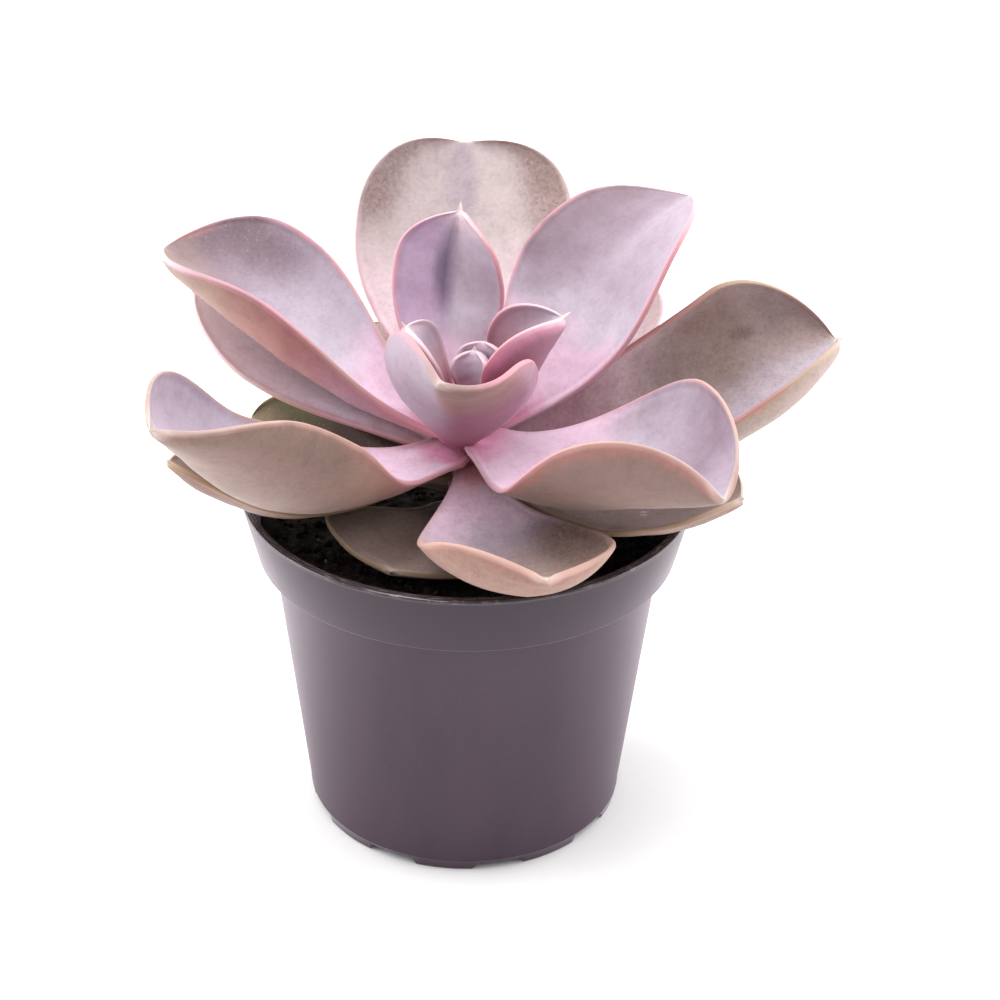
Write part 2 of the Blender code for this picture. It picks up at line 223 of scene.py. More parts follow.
# Makes a Map Range node ease in and out at the ends of its range
EASED = {"interpolation_type": "SMOOTHSTEP"}


def paint(colour, brightness=1.0):
    """A colour as a node takes it: its brightness changed, and opaque."""
    return (*(brightness * v for v in colour), 1)


def smooth_step(share):
    """Eases a share in and out between 0 and 1."""
    return share ** 2 * (3 - 2 * share)


def new_material(name):
    """A new material, its node tree, its Principled shader and the place on the object."""
    material = bpy.data.materials.new(name)
    material.use_nodes = True
    tree = material.node_tree
    place = add_node(tree, "TexCoord", out="Object")
    return material, tree, tree.nodes["Principled BSDF"], place


def finished_mesh(name, bm):
    """A mesh of what bm holds, which is then freed."""
    mesh = bpy.data.meshes.new(name)
    bm.to_mesh(mesh)
    bm.free()
    return mesh


def closed_mesh(name, verts, faces):
    """A mesh of points and faces, with the faces turned outwards."""
    mesh = bpy.data.meshes.new(name)
    mesh.from_pydata([tuple(v) for v in verts], [], faces)
    bm = bmesh.new()
    bm.from_mesh(mesh)
    bmesh.ops.recalc_face_normals(bm, faces=bm.faces)
    if bm.calc_volume(signed=True) < 0:
        bmesh.ops.reverse_faces(bm, faces=bm.faces)
    bm.to_mesh(mesh)
    bm.free()
    return mesh


def add_object(name, data):
    """An object of the scene that shows a mesh, light or camera."""
    added = bpy.data.objects.new(name, data)
    bpy.context.scene.collection.objects.link(added)
    return added


def new_piece(mesh, material, node=None):
    """A smooth piece that rides on the plant, and stands for a CAD node if one is named."""
    mesh.shade_smooth()
    mesh.materials.append(material)
    piece = add_object(mesh.name, mesh)
    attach(piece, "root")
    if node:
        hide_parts(node)
    return piece


def ring_faces(rings, around):
    """Quads between closed rings of points, and fans to a first and a last single point."""
    first, last = rings * around, rings * around + 1
    faces = []
    for k in range(around):
        after = (k + 1) % around
        faces.append((first, after, k))
        faces.append((last, (rings - 1) * around + k, (rings - 1) * around + after))
        for r in range(rings - 1):
            low, high = r * around, (r + 1) * around
            faces.append((low + k, low + after, high + after, high + k))
    return faces


def rounded(points, steps=6):
    """A profile of (radius, height, corner) with each corner drawn as an arc."""
    out = []
    for k, (x, y, corner) in enumerate(points):
        if not corner or k in (0, len(points) - 1):
            out.append((x, y))
            continue
        before, after = points[k - 1], points[k + 1]
        a = Vector((before[0] - x, before[1] - y)).normalized()
        b = Vector((after[0] - x, after[1] - y)).normalized()
        half = a.angle(b) / 2
        reach = corner / np.tan(half)
        middle = Vector((x, y)) + (a + b).normalized() * corner / sin(half)
        start = Vector((x, y)) + a * reach - middle
        turn = start.angle_signed(Vector((x, y)) + b * reach - middle)
        for s in range(steps + 1):
            spoke = start.copy()
            spoke.rotate(Matrix.Rotation(-turn * s / steps, 2))
            out.append(tuple(middle + spoke))
    return out


# Pot: a 10.5 cm nursery pot of the same profile as its solid
BAND_HEIGHT = 14.7
BAND_FOOT_RADIUS = 49.0
WALL_TOP_RADIUS = 45.5
WALL_FOOT_RADIUS = 37.7
WALL_THICKNESS = 1.3
LIP_WIDTH = 2.2
FLOOR_THICKNESS = 1.2
FLOOR_UNDERSIDE = 2.0
FOOT_HEIGHT = 1.8
FOOT_RING_WIDTH = 2.4
FOOT_COUNT = 9
FOOT_GAP_WIDTH = 11.8
FIRST_GAP_TURN = -77.0
PARTING_HEIGHT = 2.6
# The parting line is a low ridge, this high and this wide to each side
PARTING_RELIEF = 0.12
PARTING_REACH = 0.2
FOOT_CORNER = 0.9
PAD_RADIUS = 8.0
DRAIN_COUNT = 6
DRAIN_RADIUS = 3.5
DRAIN_CIRCLE = 24.0


def pot_profile(rim, height):
    """Round the pot's wall from the middle of its floor, over the lip and down to its pad."""
    shoulder = height - BAND_HEIGHT
    floor_top = FLOOR_UNDERSIDE + FLOOR_THICKNESS
    ring_inner = WALL_FOOT_RADIUS - FOOT_RING_WIDTH

    def wall(z):
        return WALL_FOOT_RADIUS + (WALL_TOP_RADIUS - WALL_FOOT_RADIUS) * z / shoulder

    return rounded([
        (0.0, floor_top, 0),
        (wall(floor_top) - WALL_THICKNESS, floor_top, 1.0),
        (WALL_TOP_RADIUS - WALL_THICKNESS, shoulder - WALL_THICKNESS, 0.6),
        (BAND_FOOT_RADIUS - WALL_THICKNESS, shoulder + WALL_THICKNESS, 0.6),
        (rim - LIP_WIDTH, height, 0.35),
        (rim, height, 0.5),
        (BAND_FOOT_RADIUS, shoulder, 0.5),
        (WALL_TOP_RADIUS, shoulder, 0.3),
        (wall(PARTING_HEIGHT + PARTING_REACH), PARTING_HEIGHT + PARTING_REACH, 0),
        (wall(PARTING_HEIGHT) + PARTING_RELIEF, PARTING_HEIGHT, 0),
        (wall(PARTING_HEIGHT - PARTING_REACH), PARTING_HEIGHT - PARTING_REACH, 0),
        (WALL_FOOT_RADIUS, 0.0, 0.5),
        (ring_inner, 0.0, 0.3),
        (ring_inner, FLOOR_UNDERSIDE, 0.3),
        (PAD_RADIUS, FLOOR_UNDERSIDE, 0.3),
        (PAD_RADIUS, 0.0, 0.3),
        (0.0, 0.0, 0),
    ])


def pot_turns(steps):
    """Angles round the pot, with more of them at the corners of its feet."""
    turns = set(np.round(np.linspace(0, tau, steps, endpoint=False), 5))
    half_gap = FOOT_GAP_WIDTH / 2 / WALL_FOOT_RADIUS
    corner = FOOT_CORNER / WALL_FOOT_RADIUS
    for k in range(FOOT_COUNT):
        middle = radians(FIRST_GAP_TURN) + k * tau / FOOT_COUNT
        for share in np.linspace(0, 1, 7):
            for side in (-1, 1):
                turns.add(round((middle + side * (half_gap - corner * share)) % tau, 5))
                turns.add(round((middle + side * (half_gap + corner * share)) % tau, 5))
    return np.array(sorted(turns))


def foot_lift(turn):
    """Height of the foot ring's lower edge: on the ground at a foot and raised in a gap."""
    pitch = tau / FOOT_COUNT
    off = (turn - radians(FIRST_GAP_TURN) + pitch / 2) % pitch - pitch / 2
    inside = (FOOT_GAP_WIDTH / 2 - np.abs(off) * WALL_FOOT_RADIUS) / FOOT_CORNER
    share = np.clip(inside / 2 + 0.5, 0, 1)
    return FOOT_HEIGHT * smooth_step(share)


def cut_drains(piece):
    """Cuts the round drain holes through the pot's floor."""
    bm = bmesh.new()
    for k in range(DRAIN_COUNT):
        turn = Matrix.Rotation((k + 0.5) * tau / DRAIN_COUNT, 4, "Z")
        place = Matrix.Translation((DRAIN_CIRCLE * MM, 0, FLOOR_UNDERSIDE * MM))
        bmesh.ops.create_cone(
            bm, cap_ends=True, segments=40, radius1=DRAIN_RADIUS * MM,
            radius2=DRAIN_RADIUS * MM, depth=4 * FLOOR_THICKNESS * MM, matrix=turn @ place)
    cutter = add_object("drains", finished_mesh("drains", bm))
    boolean = piece.modifiers.new("drains", "BOOLEAN")
    boolean.operation = "DIFFERENCE"
    boolean.object = cutter
    bpy.context.view_layer.update()
    graph = bpy.context.evaluated_depsgraph_get()
    cut_mesh = bpy.data.meshes.new_from_object(piece.evaluated_get(graph))
    piece.modifiers.remove(boolean)
    piece.data = cut_mesh
    bpy.data.objects.remove(cutter, do_unlink=True)


def moulded_polypropylene(plastic):
    """Polypropylene, injection moulded: an even satin grey with a very slight orange peel.

    The tool's polish makes it shine softly where the light grazes it. The lip, where pots rub in
    the stack, is scuffed paler, and dust lies in the mould's fine grain. The band is painted a
    little darker than the wall, and the top of the lip darker and greyer as painted shade.
    """
    material, tree, shader, place = new_material("injection_moulded_polypropylene")
    height = add_node(tree, "SeparateXYZ", {0: place}, "Z")
    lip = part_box("pot")[1].z
    # Melt flowed in 12 mm streaks, stretched up the wall
    stretched = add_node(tree, "Mapping", {"Vector": place, "Scale": (1, 1, 0.25)})
    streaks = add_node(tree, "TexNoise", {
        "Vector": stretched, "Scale": 1 / (12 * MM), "Detail": 3.0})
    colour = add_node(tree, "ValToRGB", {"Fac": streaks}, stops=[
        (0.3, paint(plastic, 0.9)), (0.7, paint(plastic, 1.1))])
    # Dust and rubs, 0.7 mm
    dust = add_node(tree, "TexNoise", {"Vector": place, "Scale": 1 / (0.7 * MM), "Detail": 6.0})
    dusty = add_node(tree, "MapRange", {
        "Value": dust, "From Min": 0.62, "From Max": 0.8, "To Max": 0.12})
    # The band is painted a little darker than the wall
    on_band = add_node(tree, "MapRange", {
        "Value": height, "From Min": lip - (BAND_HEIGHT + 0.5) * MM,
        "From Max": lip - (BAND_HEIGHT - 0.5) * MM})
    on_lip = add_node(tree, "MapRange", {
        "Value": height, "From Min": lip - 1.1 * MM, "From Max": lip - 0.1 * MM})
    # Scuffs run round the lip, 4 mm long and 0.4 mm wide
    flat = add_node(tree, "VectorMath", {0: place, 1: (1, 1, 0)}, operation="MULTIPLY")
    reach = add_node(tree, "VectorMath", {0: flat}, "Value", operation="LENGTH")
    outward = add_node(tree, "Math", {0: reach, 1: height}, operation="ADD")
    narrow = add_node(tree, "Math", {0: outward, 1: 10.0}, operation="MULTIPLY")
    raised = add_node(tree, "CombineXYZ", {"Z": narrow})
    round_lip = add_node(tree, "VectorMath", {0: flat, 1: raised}, operation="ADD")
    scuff = add_node(tree, "TexNoise", {
        "Vector": round_lip, "Scale": 1 / (4 * MM), "Detail": 4.0, "Roughness": 0.6})
    rubbed = add_node(tree, "MapRange", {
        "Value": scuff, "From Min": 0.54, "From Max": 0.72, "To Max": 0.35})
    scuffed = add_node(tree, "Math", {0: on_lip, 1: rubbed}, operation="MULTIPLY")
    # Over the plastic lie dust, the darker band, painted shade on the lip, and the lip's scuffs
    for strength, layer in (
            (dusty, paint(linear("#8F8583"))), (on_band, paint(plastic, 0.7)),
            (on_lip, paint(linear("#332C30"))), (scuffed, paint(linear("#B7AEB0")))):
        colour = add_node(tree, "Mix", {
            MIX_FACTOR: strength, MIX_A: colour, MIX_B: layer}, **OF_COLOURS)
    # Hands and other pots polish the lip
    satin = add_node(tree, "MapRange", {"Value": dust, "To Min": 0.34, "To Max": 0.5})
    polished = add_node(tree, "MapRange", {"Value": on_lip, "To Min": 1.0, "To Max": 0.45})
    # The orange peel is 0.9 mm across
    peel = add_node(tree, "TexNoise", {"Vector": place, "Scale": 1 / (0.9 * MM), "Detail": 2.0})
    connect(tree, shader, {
        "Base Color": colour, "IOR": 1.49,
        "Roughness": add_node(tree, "Math", {0: satin, 1: polished}, operation="MULTIPLY"),
        "Specular IOR Level": add_node(tree, "MapRange", {
            "Value": on_lip, "To Min": 0.3, "To Max": 0.9}),
        "Sheen Weight": add_node(tree, "MapRange", {
            "Value": on_lip, "To Min": 0.6, "To Max": 0.1}),
        "Sheen Roughness": 0.35, "Sheen Tint": paint(linear("#F3E1EF")),
        "Normal": add_node(tree, "Bump", {
            "Strength": 0.25, "Distance": 0.03 * MM, "Height": peel})})
    return material


class ECHEVERIA_OT_pot(bpy.types.Operator):
    """Turn the nursery pot, with its rim band, parting line, feet and drain holes"""
    bl_idname = "echeveria.pot"
    bl_label = "Pot"

    def execute(self, context):
        settings = context.scene.echeveria_pot
        profile = np.array(pot_profile(settings.rim_radius / MM, settings.height / MM))
        turns = pot_turns(settings.steps)
        lift = foot_lift(turns)
        verts = []
        for radius, z in profile[1:-1]:
            # The foot ring, outside the drains, is notched, and the pad within them isn't
            notched = z < FOOT_HEIGHT and radius > DRAIN_CIRCLE
            level = np.maximum(z, lift) if notched else np.full(len(turns), z)
            verts += list(np.stack(
                [radius * np.cos(turns), radius * np.sin(turns), level], -1) * MM)
        verts += [(0, 0, profile[0][1] * MM), (0, 0, profile[-1][1] * MM)]
        mesh = closed_mesh("nursery_pot", verts, ring_faces(len(profile) - 2, len(turns)))
        piece = new_piece(
            mesh, moulded_polypropylene(settings.plastic), "pot")
        cut_drains(piece)
        piece.data.set_sharp_from_angle(angle=radians(40))
        return {"FINISHED"}


# Potting mix
SOIL_BELOW_RIM = 9.0
SOIL_CROWN = 0.9
SOIL_HOLE_RADIUS = 4.9
SOIL_STEPS = 216
SOIL_RINGS = 44
# Width of its clods, lumps and crumbs, and how strongly each shows
SOIL_RELIEF = ((9.0, 1.1), (3.1, 0.7), (1.3, 0.4))
WALL_CLEARANCE = 0.3
CRUMB_SIZES = (0.7, 2.6)
GRAIN_SIZES = (0.4, 1.1)
# No loose lump reaches in to this radius, where the stem stands, or this near the pot
LUMP_FREE_RADIUS = 5.5
LUMP_FREE_EDGE = 1.8
ROOT_CURL_PLACE = (-33.5, -12.0)


def moist_peat(peat):
    """Peat mix, loose and moist: nearly black crumbs, matt where dry and glinting where wet."""
    material, tree, shader, place = new_material("moist_peat_mix")
    # Crumbs 1.5 mm across, with fibres of bark among them
    crumbs = add_node(tree, "TexNoise", {"Vector": place, "Scale": 1 / (1.5 * MM), "Detail": 6.0})
    connect(tree, shader, {
        "Base Color": add_node(tree, "ValToRGB", {"Fac": crumbs}, stops=[
            (0.3, paint(peat, 0.35)), (0.55, paint(peat)), (0.8, paint(linear("#4A3527")))]),
        "Roughness": add_node(tree, "MapRange", {"Value": crumbs, "To Min": 0.95, "To Max": 0.6}),
        "IOR": 1.4, "Specular IOR Level": 0.3,
        "Normal": add_node(tree, "Bump", {
            "Strength": 0.8, "Distance": 0.4 * MM, "Height": crumbs})})
    return material


def pale_grit():
    """Pumice and bits of root, broken: matt, chalky, stained by the peat round them."""
    material, tree, shader, place = new_material("stained_pumice_grit")
    # Stains are 1 mm across
    stain = add_node(tree, "TexNoise", {"Vector": place, "Scale": 1 / (1.0 * MM), "Detail": 4.0})
    connect(tree, shader, {
        "Base Color": add_node(tree, "ValToRGB", {"Fac": stain}, stops=[
            (0.35, paint(linear("#2E241D"))), (0.6, paint(linear("#75675A")))]),
        "Roughness": 0.9, "IOR": 1.45,
        "Normal": add_node(tree, "Bump", {
            "Strength": 0.5, "Distance": 0.2 * MM, "Height": stain})})
    return material


def soil_lumps(x, y, crumb):
    """Height of the lumps in the potting mix at a place, all in millimetres."""
    place = Vector((x, y, 0))
    return crumb * sum(share * noise.noise(place / width) for width, share in SOIL_RELIEF)


def add_lump(bm, rng, place, size):
    """Adds one broken lump to bm."""
    turn = Matrix.Rotation(rng.uniform(0, tau), 4, Vector(rng.normal(size=3)).normalized())
    stretch = Matrix.Diagonal((*(size * rng.uniform(0.6, 1.2, 3) * MM), 1))
    made = bmesh.ops.create_icosphere(bm, subdivisions=2, radius=0.5)["verts"]
    offset = Vector(rng.uniform(0, 50, 3))
    for vert in made:
        vert.co *= 1 + 0.45 * noise.noise(vert.co * 3 + offset)
        vert.co = Matrix.Translation(place) @ turn @ stretch @ vert.co


def strewn_lumps(name, count, sizes, reach, surface):
    """A mesh of loose lumps that lie strewn over the mix, but not against the stem."""
    rng = np.random.default_rng(SEED + count)
    bm = bmesh.new()
    for _ in range(count):
        radius = reach * rng.uniform(0.02, 1) ** 0.5
        turn = rng.uniform(0, tau)
        x, y = radius * cos(turn), radius * sin(turn)
        size = rng.uniform(*sizes)
        if radius > LUMP_FREE_RADIUS + size:
            add_lump(bm, rng, Vector((x, y, surface(x, y) + 0.15 * size)) * MM, size)
    return finished_mesh(name, bm)


def root_curl(middle):
    """Points and faces of a dry root, 4.5 mm long, that lies curled on the mix."""
    rings, around, half_thickness = 40, 8, 0.3
    share = np.linspace(0, 1, rings)
    path = np.stack([0.8 * np.sin(7.5 * share + 0.6), 4.5 * (share - 0.5),
                     0.5 + 0.4 * np.sin(5 * share)], -1) + middle
    ahead = np.gradient(path, axis=0)
    ahead /= np.linalg.norm(ahead, axis=1)[:, None]
    aside = np.cross(ahead, (0, 0, 1))
    aside /= np.linalg.norm(aside, axis=1)[:, None]
    above = np.cross(aside, ahead)
    turns = np.linspace(0, tau, around, endpoint=False)[:, None, None]
    rim = half_thickness * (np.cos(turns) * aside + np.sin(turns) * above) + path
    points = [*rim.transpose(1, 0, 2).reshape(-1, 3), path[0], path[-1]]
    return [Vector(point) * MM for point in points], ring_faces(rings, around)


class ECHEVERIA_OT_soil(bpy.types.Operator):
    """Fill the pot with crumbly potting mix"""
    bl_idname = "echeveria.soil"
    bl_label = "Potting mix"

    def execute(self, context):
        settings = context.scene.echeveria_soil
        crumb = settings.crumb / MM
        low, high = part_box("soil")
        edge = high.x / MM
        base, level = low.z / MM, context.scene.echeveria_pot.height / MM - SOIL_BELOW_RIM

        def surface(x, y):
            crown = SOIL_CROWN * (1 - (x * x + y * y) / edge ** 2)
            return level + crown + soil_lumps(x, y, crumb)

        turns = np.linspace(0, tau, SOIL_STEPS, endpoint=False)
        radii = np.linspace(SOIL_HOLE_RADIUS, edge - 0.2, SOIL_RINGS)
        verts = []
        for radius in radii:
            for turn in turns:
                x, y = radius * cos(turn), radius * sin(turn)
                verts.append((x * MM, y * MM, surface(x, y) * MM))
        # The sides follow the pot's inside down to its floor
        shoulder = level + SOIL_BELOW_RIM - BAND_HEIGHT
        inset = WALL_THICKNESS + WALL_CLEARANCE
        sides = ((edge - 0.4, level - 3.0), (BAND_FOOT_RADIUS - inset, shoulder + inset),
                 (WALL_TOP_RADIUS - inset, shoulder - 1.4), (WALL_FOOT_RADIUS - 1.2, base))
        for radius, z in sides:
            verts += [(radius * cos(a) * MM, radius * sin(a) * MM, z * MM) for a in turns]
        verts += [(0, 0, (level - 2) * MM), (0, 0, base * MM)]
        peat, grit = moist_peat(settings.peat), pale_grit()
        faces = ring_faces(len(radii) + len(sides), SOIL_STEPS)
        new_piece(closed_mesh("potting_mix", verts, faces), peat, "soil")
        for name, count, sizes, material in (
                ("loose_crumbs", settings.crumbs, CRUMB_SIZES, peat),
                ("pale_grains", settings.grains, GRAIN_SIZES, grit)):
            lumps = strewn_lumps(name, count, sizes, edge - LUMP_FREE_EDGE, surface)
            new_piece(lumps, material)
        x, y = ROOT_CURL_PLACE
        points, faces = root_curl((x, y, level + soil_lumps(x, y, crumb)))
        new_piece(closed_mesh("dry_root", points, faces), grit)
        return {"FINISHED"}


# Stem
STEM_RADIUS = 4.8
STEM_FOOT = 60.4
STEM_SHOULDER = 95.0
STEM_TOP = 105.3
# The skin lies this far inside the solid, so that its relief stays within it
STEM_INSET = 0.25
# Scars wind up the stem in a spiral, a third of a millimetre from crest to hollow
SCAR_HEIGHT = 0.17
CORK_HEIGHT = 0.2


def stem_radius(z):
    """Radius of the stem, which ends in a dome where the young leaves grow."""
    rise = np.clip((z - STEM_SHOULDER) / (STEM_TOP - STEM_SHOULDER), 0, 1)
    return STEM_RADIUS * (1 - rise ** 1.25) ** 0.5


def corky_stem():
    """Succulent stem, grown: pinkish skin that turns brown and corky between old leaf scars."""
    material, tree, shader, place = new_material("corky_stem_skin")
    height = add_node(tree, "SeparateXYZ", {0: place}, "Z")
    # Cork cracks are 1.2 mm apart
    cork = add_node(tree, "TexNoise", {"Vector": place, "Scale": 1 / (1.2 * MM), "Detail": 5.0})
    old = add_node(tree, "MapRange", {
        "Value": height, "From Min": 91 * MM, "From Max": 80 * MM})
    young = add_node(tree, "ValToRGB", {"Fac": cork}, stops=[
        (0.3, paint(linear("#7E3A50"))), (0.7, paint(linear("#AE6478")))])
    corky = add_node(tree, "ValToRGB", {"Fac": cork}, stops=[
        (0.35, paint(linear("#3B2A20"))), (0.7, paint(linear("#80654F")))])
    connect(tree, shader, {
        "Base Color": add_node(tree, "Mix", {
            MIX_FACTOR: old, MIX_A: young, MIX_B: corky}, **OF_COLOURS),
        "Roughness": 0.75, "IOR": 1.4,
        "Normal": add_node(tree, "Bump", {
            "Strength": 0.7, "Distance": 0.3 * MM, "Height": cork})})
    return material


class ECHEVERIA_OT_stem(bpy.types.Operator):
    """Grow the short stem, ringed with the scars of shed leaves"""
    bl_idname = "echeveria.stem"
    bl_label = "Stem"

    def execute(self, context):
        levels = np.linspace(STEM_TOP - 0.02, STEM_FOOT, 150)
        turns = np.linspace(0, tau, 72, endpoint=False)
        verts = []
        for z in levels:
            radius = stem_radius(z)
            for turn in turns:
                scar = SCAR_HEIGHT * sin(3 * turn + 1.9 * z) * sin(1.3 * z)
                place = Vector((cos(turn) * radius, sin(turn) * radius, z))
                reach = radius - STEM_INSET + scar + CORK_HEIGHT * noise.noise(place / 1.5)
                reach = max(min(reach, radius), 0.3 * radius)
                verts.append((reach * cos(turn) * MM, reach * sin(turn) * MM, z * MM))
        verts += [(0, 0, STEM_TOP * MM), (0, 0, STEM_FOOT * MM)]
        mesh = closed_mesh("leafy_stem", verts, ring_faces(len(levels), len(turns)))
        new_piece(mesh, corky_stem(), "stem")
        return {"FINISHED"}


# Leaves
@dataclass
class Leaf:
    """One leaf. Tuples are Bezier values that run from its base to its tip.

    turn      direction it leaves the stem, counter-clockwise from +X
    height    of its base above the ground
    climb     slope of the midrib
    length    along the midrib, with the tip
    width     across the blade, following its curve
    cup       slope of the blade at its margin, so a flat leaf has 0 and a channel 90 or more
    twist     turn about the midrib; positive raises the counter-clockwise margin
    swing     sideways bend from base to tip
    out       distance of its base from the stem's axis
    shift     further move of its base along X and Y
    claw      width at the base, as a share of the full width
    fill      under 1 widens the claw between base and blade
    widest    where the blade is widest, as a share of the length
    blunt     fullness of the blade towards its tip
    corner    roundness of the blade's end
    thick     thickness of the flesh under the midrib
    lobe      how far the end of the margins reaches out past the midrib
    tip       length of the spine at the tip
    spine     width of that spine
    """
    turn: float
    height: float
    climb: tuple
    length: float
    width: float
    cup: tuple
    twist: tuple = (0, 0)
    swing: float = 0.0
    out: float = 5.2
    shift: tuple = (0.0, 0.0)
    claw: float = 0.2
    fill: float = 1.0
    widest: float = 0.62
    blunt: float = 2.4
    corner: float = 0.7
    thick: float = 4.5
    lobe: float = 0.0
    tip: float = 1.2
    spine: float = 1.6


LEAVES = {
    # Old outer leaves that stand up
    "leaf_back": Leaf(
        turn=91.5, height=92.7, climb=(11, 51, 51), length=82.5, width=55, cup=(15, 3, 54),
        twist=(-4, -8, 7), claw=0.15, fill=0.84, widest=0.67, blunt=3, corner=0.38),
    "leaf_right": Leaf(
        turn=22, height=88.6, climb=(-17, 36, 9), length=96.5, width=59.5, cup=(41, 146, 84),
        twist=(30, 51, 11), swing=0.5, out=5.4, claw=0.25, fill=0.66, widest=0.69, blunt=1.6,
        corner=0.64, thick=4.2, tip=3.5, spine=2.6),
    "leaf_back_right": Leaf(
        turn=47.5, height=95.9, climb=(10, 81, 12), length=78, width=44.5, cup=(-11, 67, 13),
        twist=(41, 11, -12), swing=-23, out=5, claw=0.16, fill=0.82, widest=0.65, blunt=3.1,
        corner=0.92, thick=4.3, tip=2.2, spine=2.4),
    "leaf_left_back": Leaf(
        turn=155.5, height=95.9, climb=(5, 49, 24), length=80, width=51, cup=(34, 122, 28),
        twist=(-4, 5, 1), swing=12, out=5, claw=0.23, widest=0.71, blunt=2.5, corner=0.82,
        thick=4.7),
    "leaf_left_under": Leaf(
        turn=157, height=89.8, climb=(14, 22, 36), length=72, width=26.5, cup=(0, 5, 3),
        twist=(-5, -2, -5), swing=0.5, out=5.6, claw=0.18, fill=1.04, widest=0.67, blunt=1.7,
        corner=0.74),

    # Outer leaves of the front, rolled up at their sides
    "leaf_right_front": Leaf(
        turn=-34, height=96, climb=(-20, 19, 21), length=66.5, width=67, cup=(-12, 78, 93),
        twist=(-2, 11, -15), swing=-10, out=5.3, claw=0.23, fill=0.66, widest=0.63, blunt=1.6,
        corner=0.48, thick=2.3),
    "leaf_left_front": Leaf(
        turn=212, height=92.9, climb=(-6, -28, 80, 37), length=88, width=51.5,
        cup=(-10, 66, 139, 62), twist=(-5, 12, 30, -18), swing=15, claw=0.26, fill=1.18,
        widest=0.45, blunt=3.3, corner=0.34, thick=3.4, lobe=1.5, tip=0.8),
    "leaf_front": Leaf(
        turn=-83, height=89.4, climb=(-14, -19, 47), length=60.5, width=46.5, cup=(-2, 46, 49),
        twist=(-7, 5, -19), swing=19, out=5.4, claw=0.17, fill=0.78, widest=0.74, blunt=1.8,
        corner=0.54),

    # Oldest leaves, low over the soil and the rim
    "leaf_right_low": Leaf(
        turn=-17.5, height=84, climb=(-10, 5, 30), length=62.5, width=37, cup=(-7, 2, 32),
        twist=(-12, -7, 1), swing=-7.5, claw=0.24, fill=0.98, widest=0.67, blunt=2.8,
        corner=0.64),
    "leaf_left_low": Leaf(
        turn=199, height=86.6, climb=(6, -38, 42, 45), length=70.5, width=25.5, cup=(2, 18, 39),
        twist=(-7, 12, -6), swing=8, out=6, shift=(0, 1), claw=0.3, widest=0.63, corner=0.72,
        thick=2.4),
    "leaf_front_left_low": Leaf(
        turn=-119.5, height=77.9, climb=(-4, -7, 21), length=34, width=46, cup=(1, 34, 5),
        twist=(1, -6, -2), swing=8.5, claw=0.3, widest=0.59, blunt=1.6, corner=0.66, thick=2.4),
    "leaf_back_left_low": Leaf(
        turn=153.5, height=81.3, climb=(4, 20, -7), length=53.5, width=25, cup=(9, 13, 49),
        twist=(1, 4, -13), swing=6.5, widest=0.64, blunt=2.2, corner=0.48),
    "leaf_behind_right": Leaf(
        turn=59.5, height=84.1, climb=(5, 16, 31), length=76.5, width=22.5, cup=(10, 17, 26),
        twist=(0, 1, -3), swing=-15.5, claw=0.25, widest=0.77, blunt=2.3, corner=0.62),
    "leaf_back_low": Leaf(
        turn=116, height=85.8, climb=(5, 8, 20), length=60, width=38, cup=(10, 20, 20),
        corner=0.6),

    # Young leaves of the heart
    "leaf_inner_back": Leaf(
        turn=114.5, height=99.4, climb=(49, 62, 80), length=49, width=28, cup=(18, 23, 53),
        twist=(-5, -2, -8), swing=-58, out=4.6, claw=0.43, fill=0.8, widest=0.65, blunt=3.1,
        corner=0.78, tip=2.5, spine=2.2),
    "heart_leaf_front": Leaf(
        turn=-96, height=96.1, climb=(75, 32, 35), length=38.5, width=43.5, cup=(-2, 128, 38),
        twist=(-14, 13, -34), swing=-2.5, shift=(-2.2, 0.2), claw=0.18, fill=0.74, widest=0.41,
        blunt=1.9, corner=0.66, thick=3.8),
    "heart_leaf_right": Leaf(
        turn=-1, height=100.9, climb=(40, 89, 34), length=32, width=30, cup=(47, 122, 87),
        twist=(-11, -4, 14), swing=2, out=4.1, claw=0.36, fill=0.94, widest=0.47, blunt=2.7,
        corner=0.92, thick=3.8, tip=2.2, spine=2),
    "heart_leaf_left": Leaf(
        turn=178, height=102.5, climb=(54, 73, 56), length=24.5, width=18.5, cup=(46, 47, 59),
        twist=(0, 1, -9), swing=5, out=3.3, claw=0.41, fill=0.96, widest=0.61, blunt=2.5,
        corner=0.76, tip=1.8),
    "heart_bud": Leaf(
        turn=70, height=105.6, climb=(75,), length=12, width=11, cup=(50, 80, 70), out=0,
        shift=(0.2, -1), claw=0.4, widest=0.55),
    # The youngest blade that shows, too small for a solid of its own
    "heart_leaf_small": Leaf(
        turn=78, height=104.5, climb=(80, 86, 80), length=13, width=12, cup=(25, 35, 30),
        twist=(0, -12), out=2.8, shift=(2.3, 0), claw=0.5, widest=0.62, blunt=3, corner=0.6,
        thick=1.6, tip=0.3, spine=0.4),
}


@dataclass
class Wash:
    """A soft area of another tone on one face of a leaf.

    Along, across and reach are shares of the leaf's length and of its half width. Across is 1
    at the counter-clockwise margin and -1 at the other. A soft edge of 1 fades right from the
    middle. Half is 1 or -1 for an area that ends at the midrib, on that side of the blade; most
    such areas are painted shade and painted light, for the two halves of a folded blade that
    face the light differently. Specks say how much speckling the area adds.
    """
    tone: str
    along: float
    across: float
    reach: tuple
    strength: float = 1.0
    soft: float = 0.6
    half: int = 0
    specks: float = 0.0
    under: bool = False


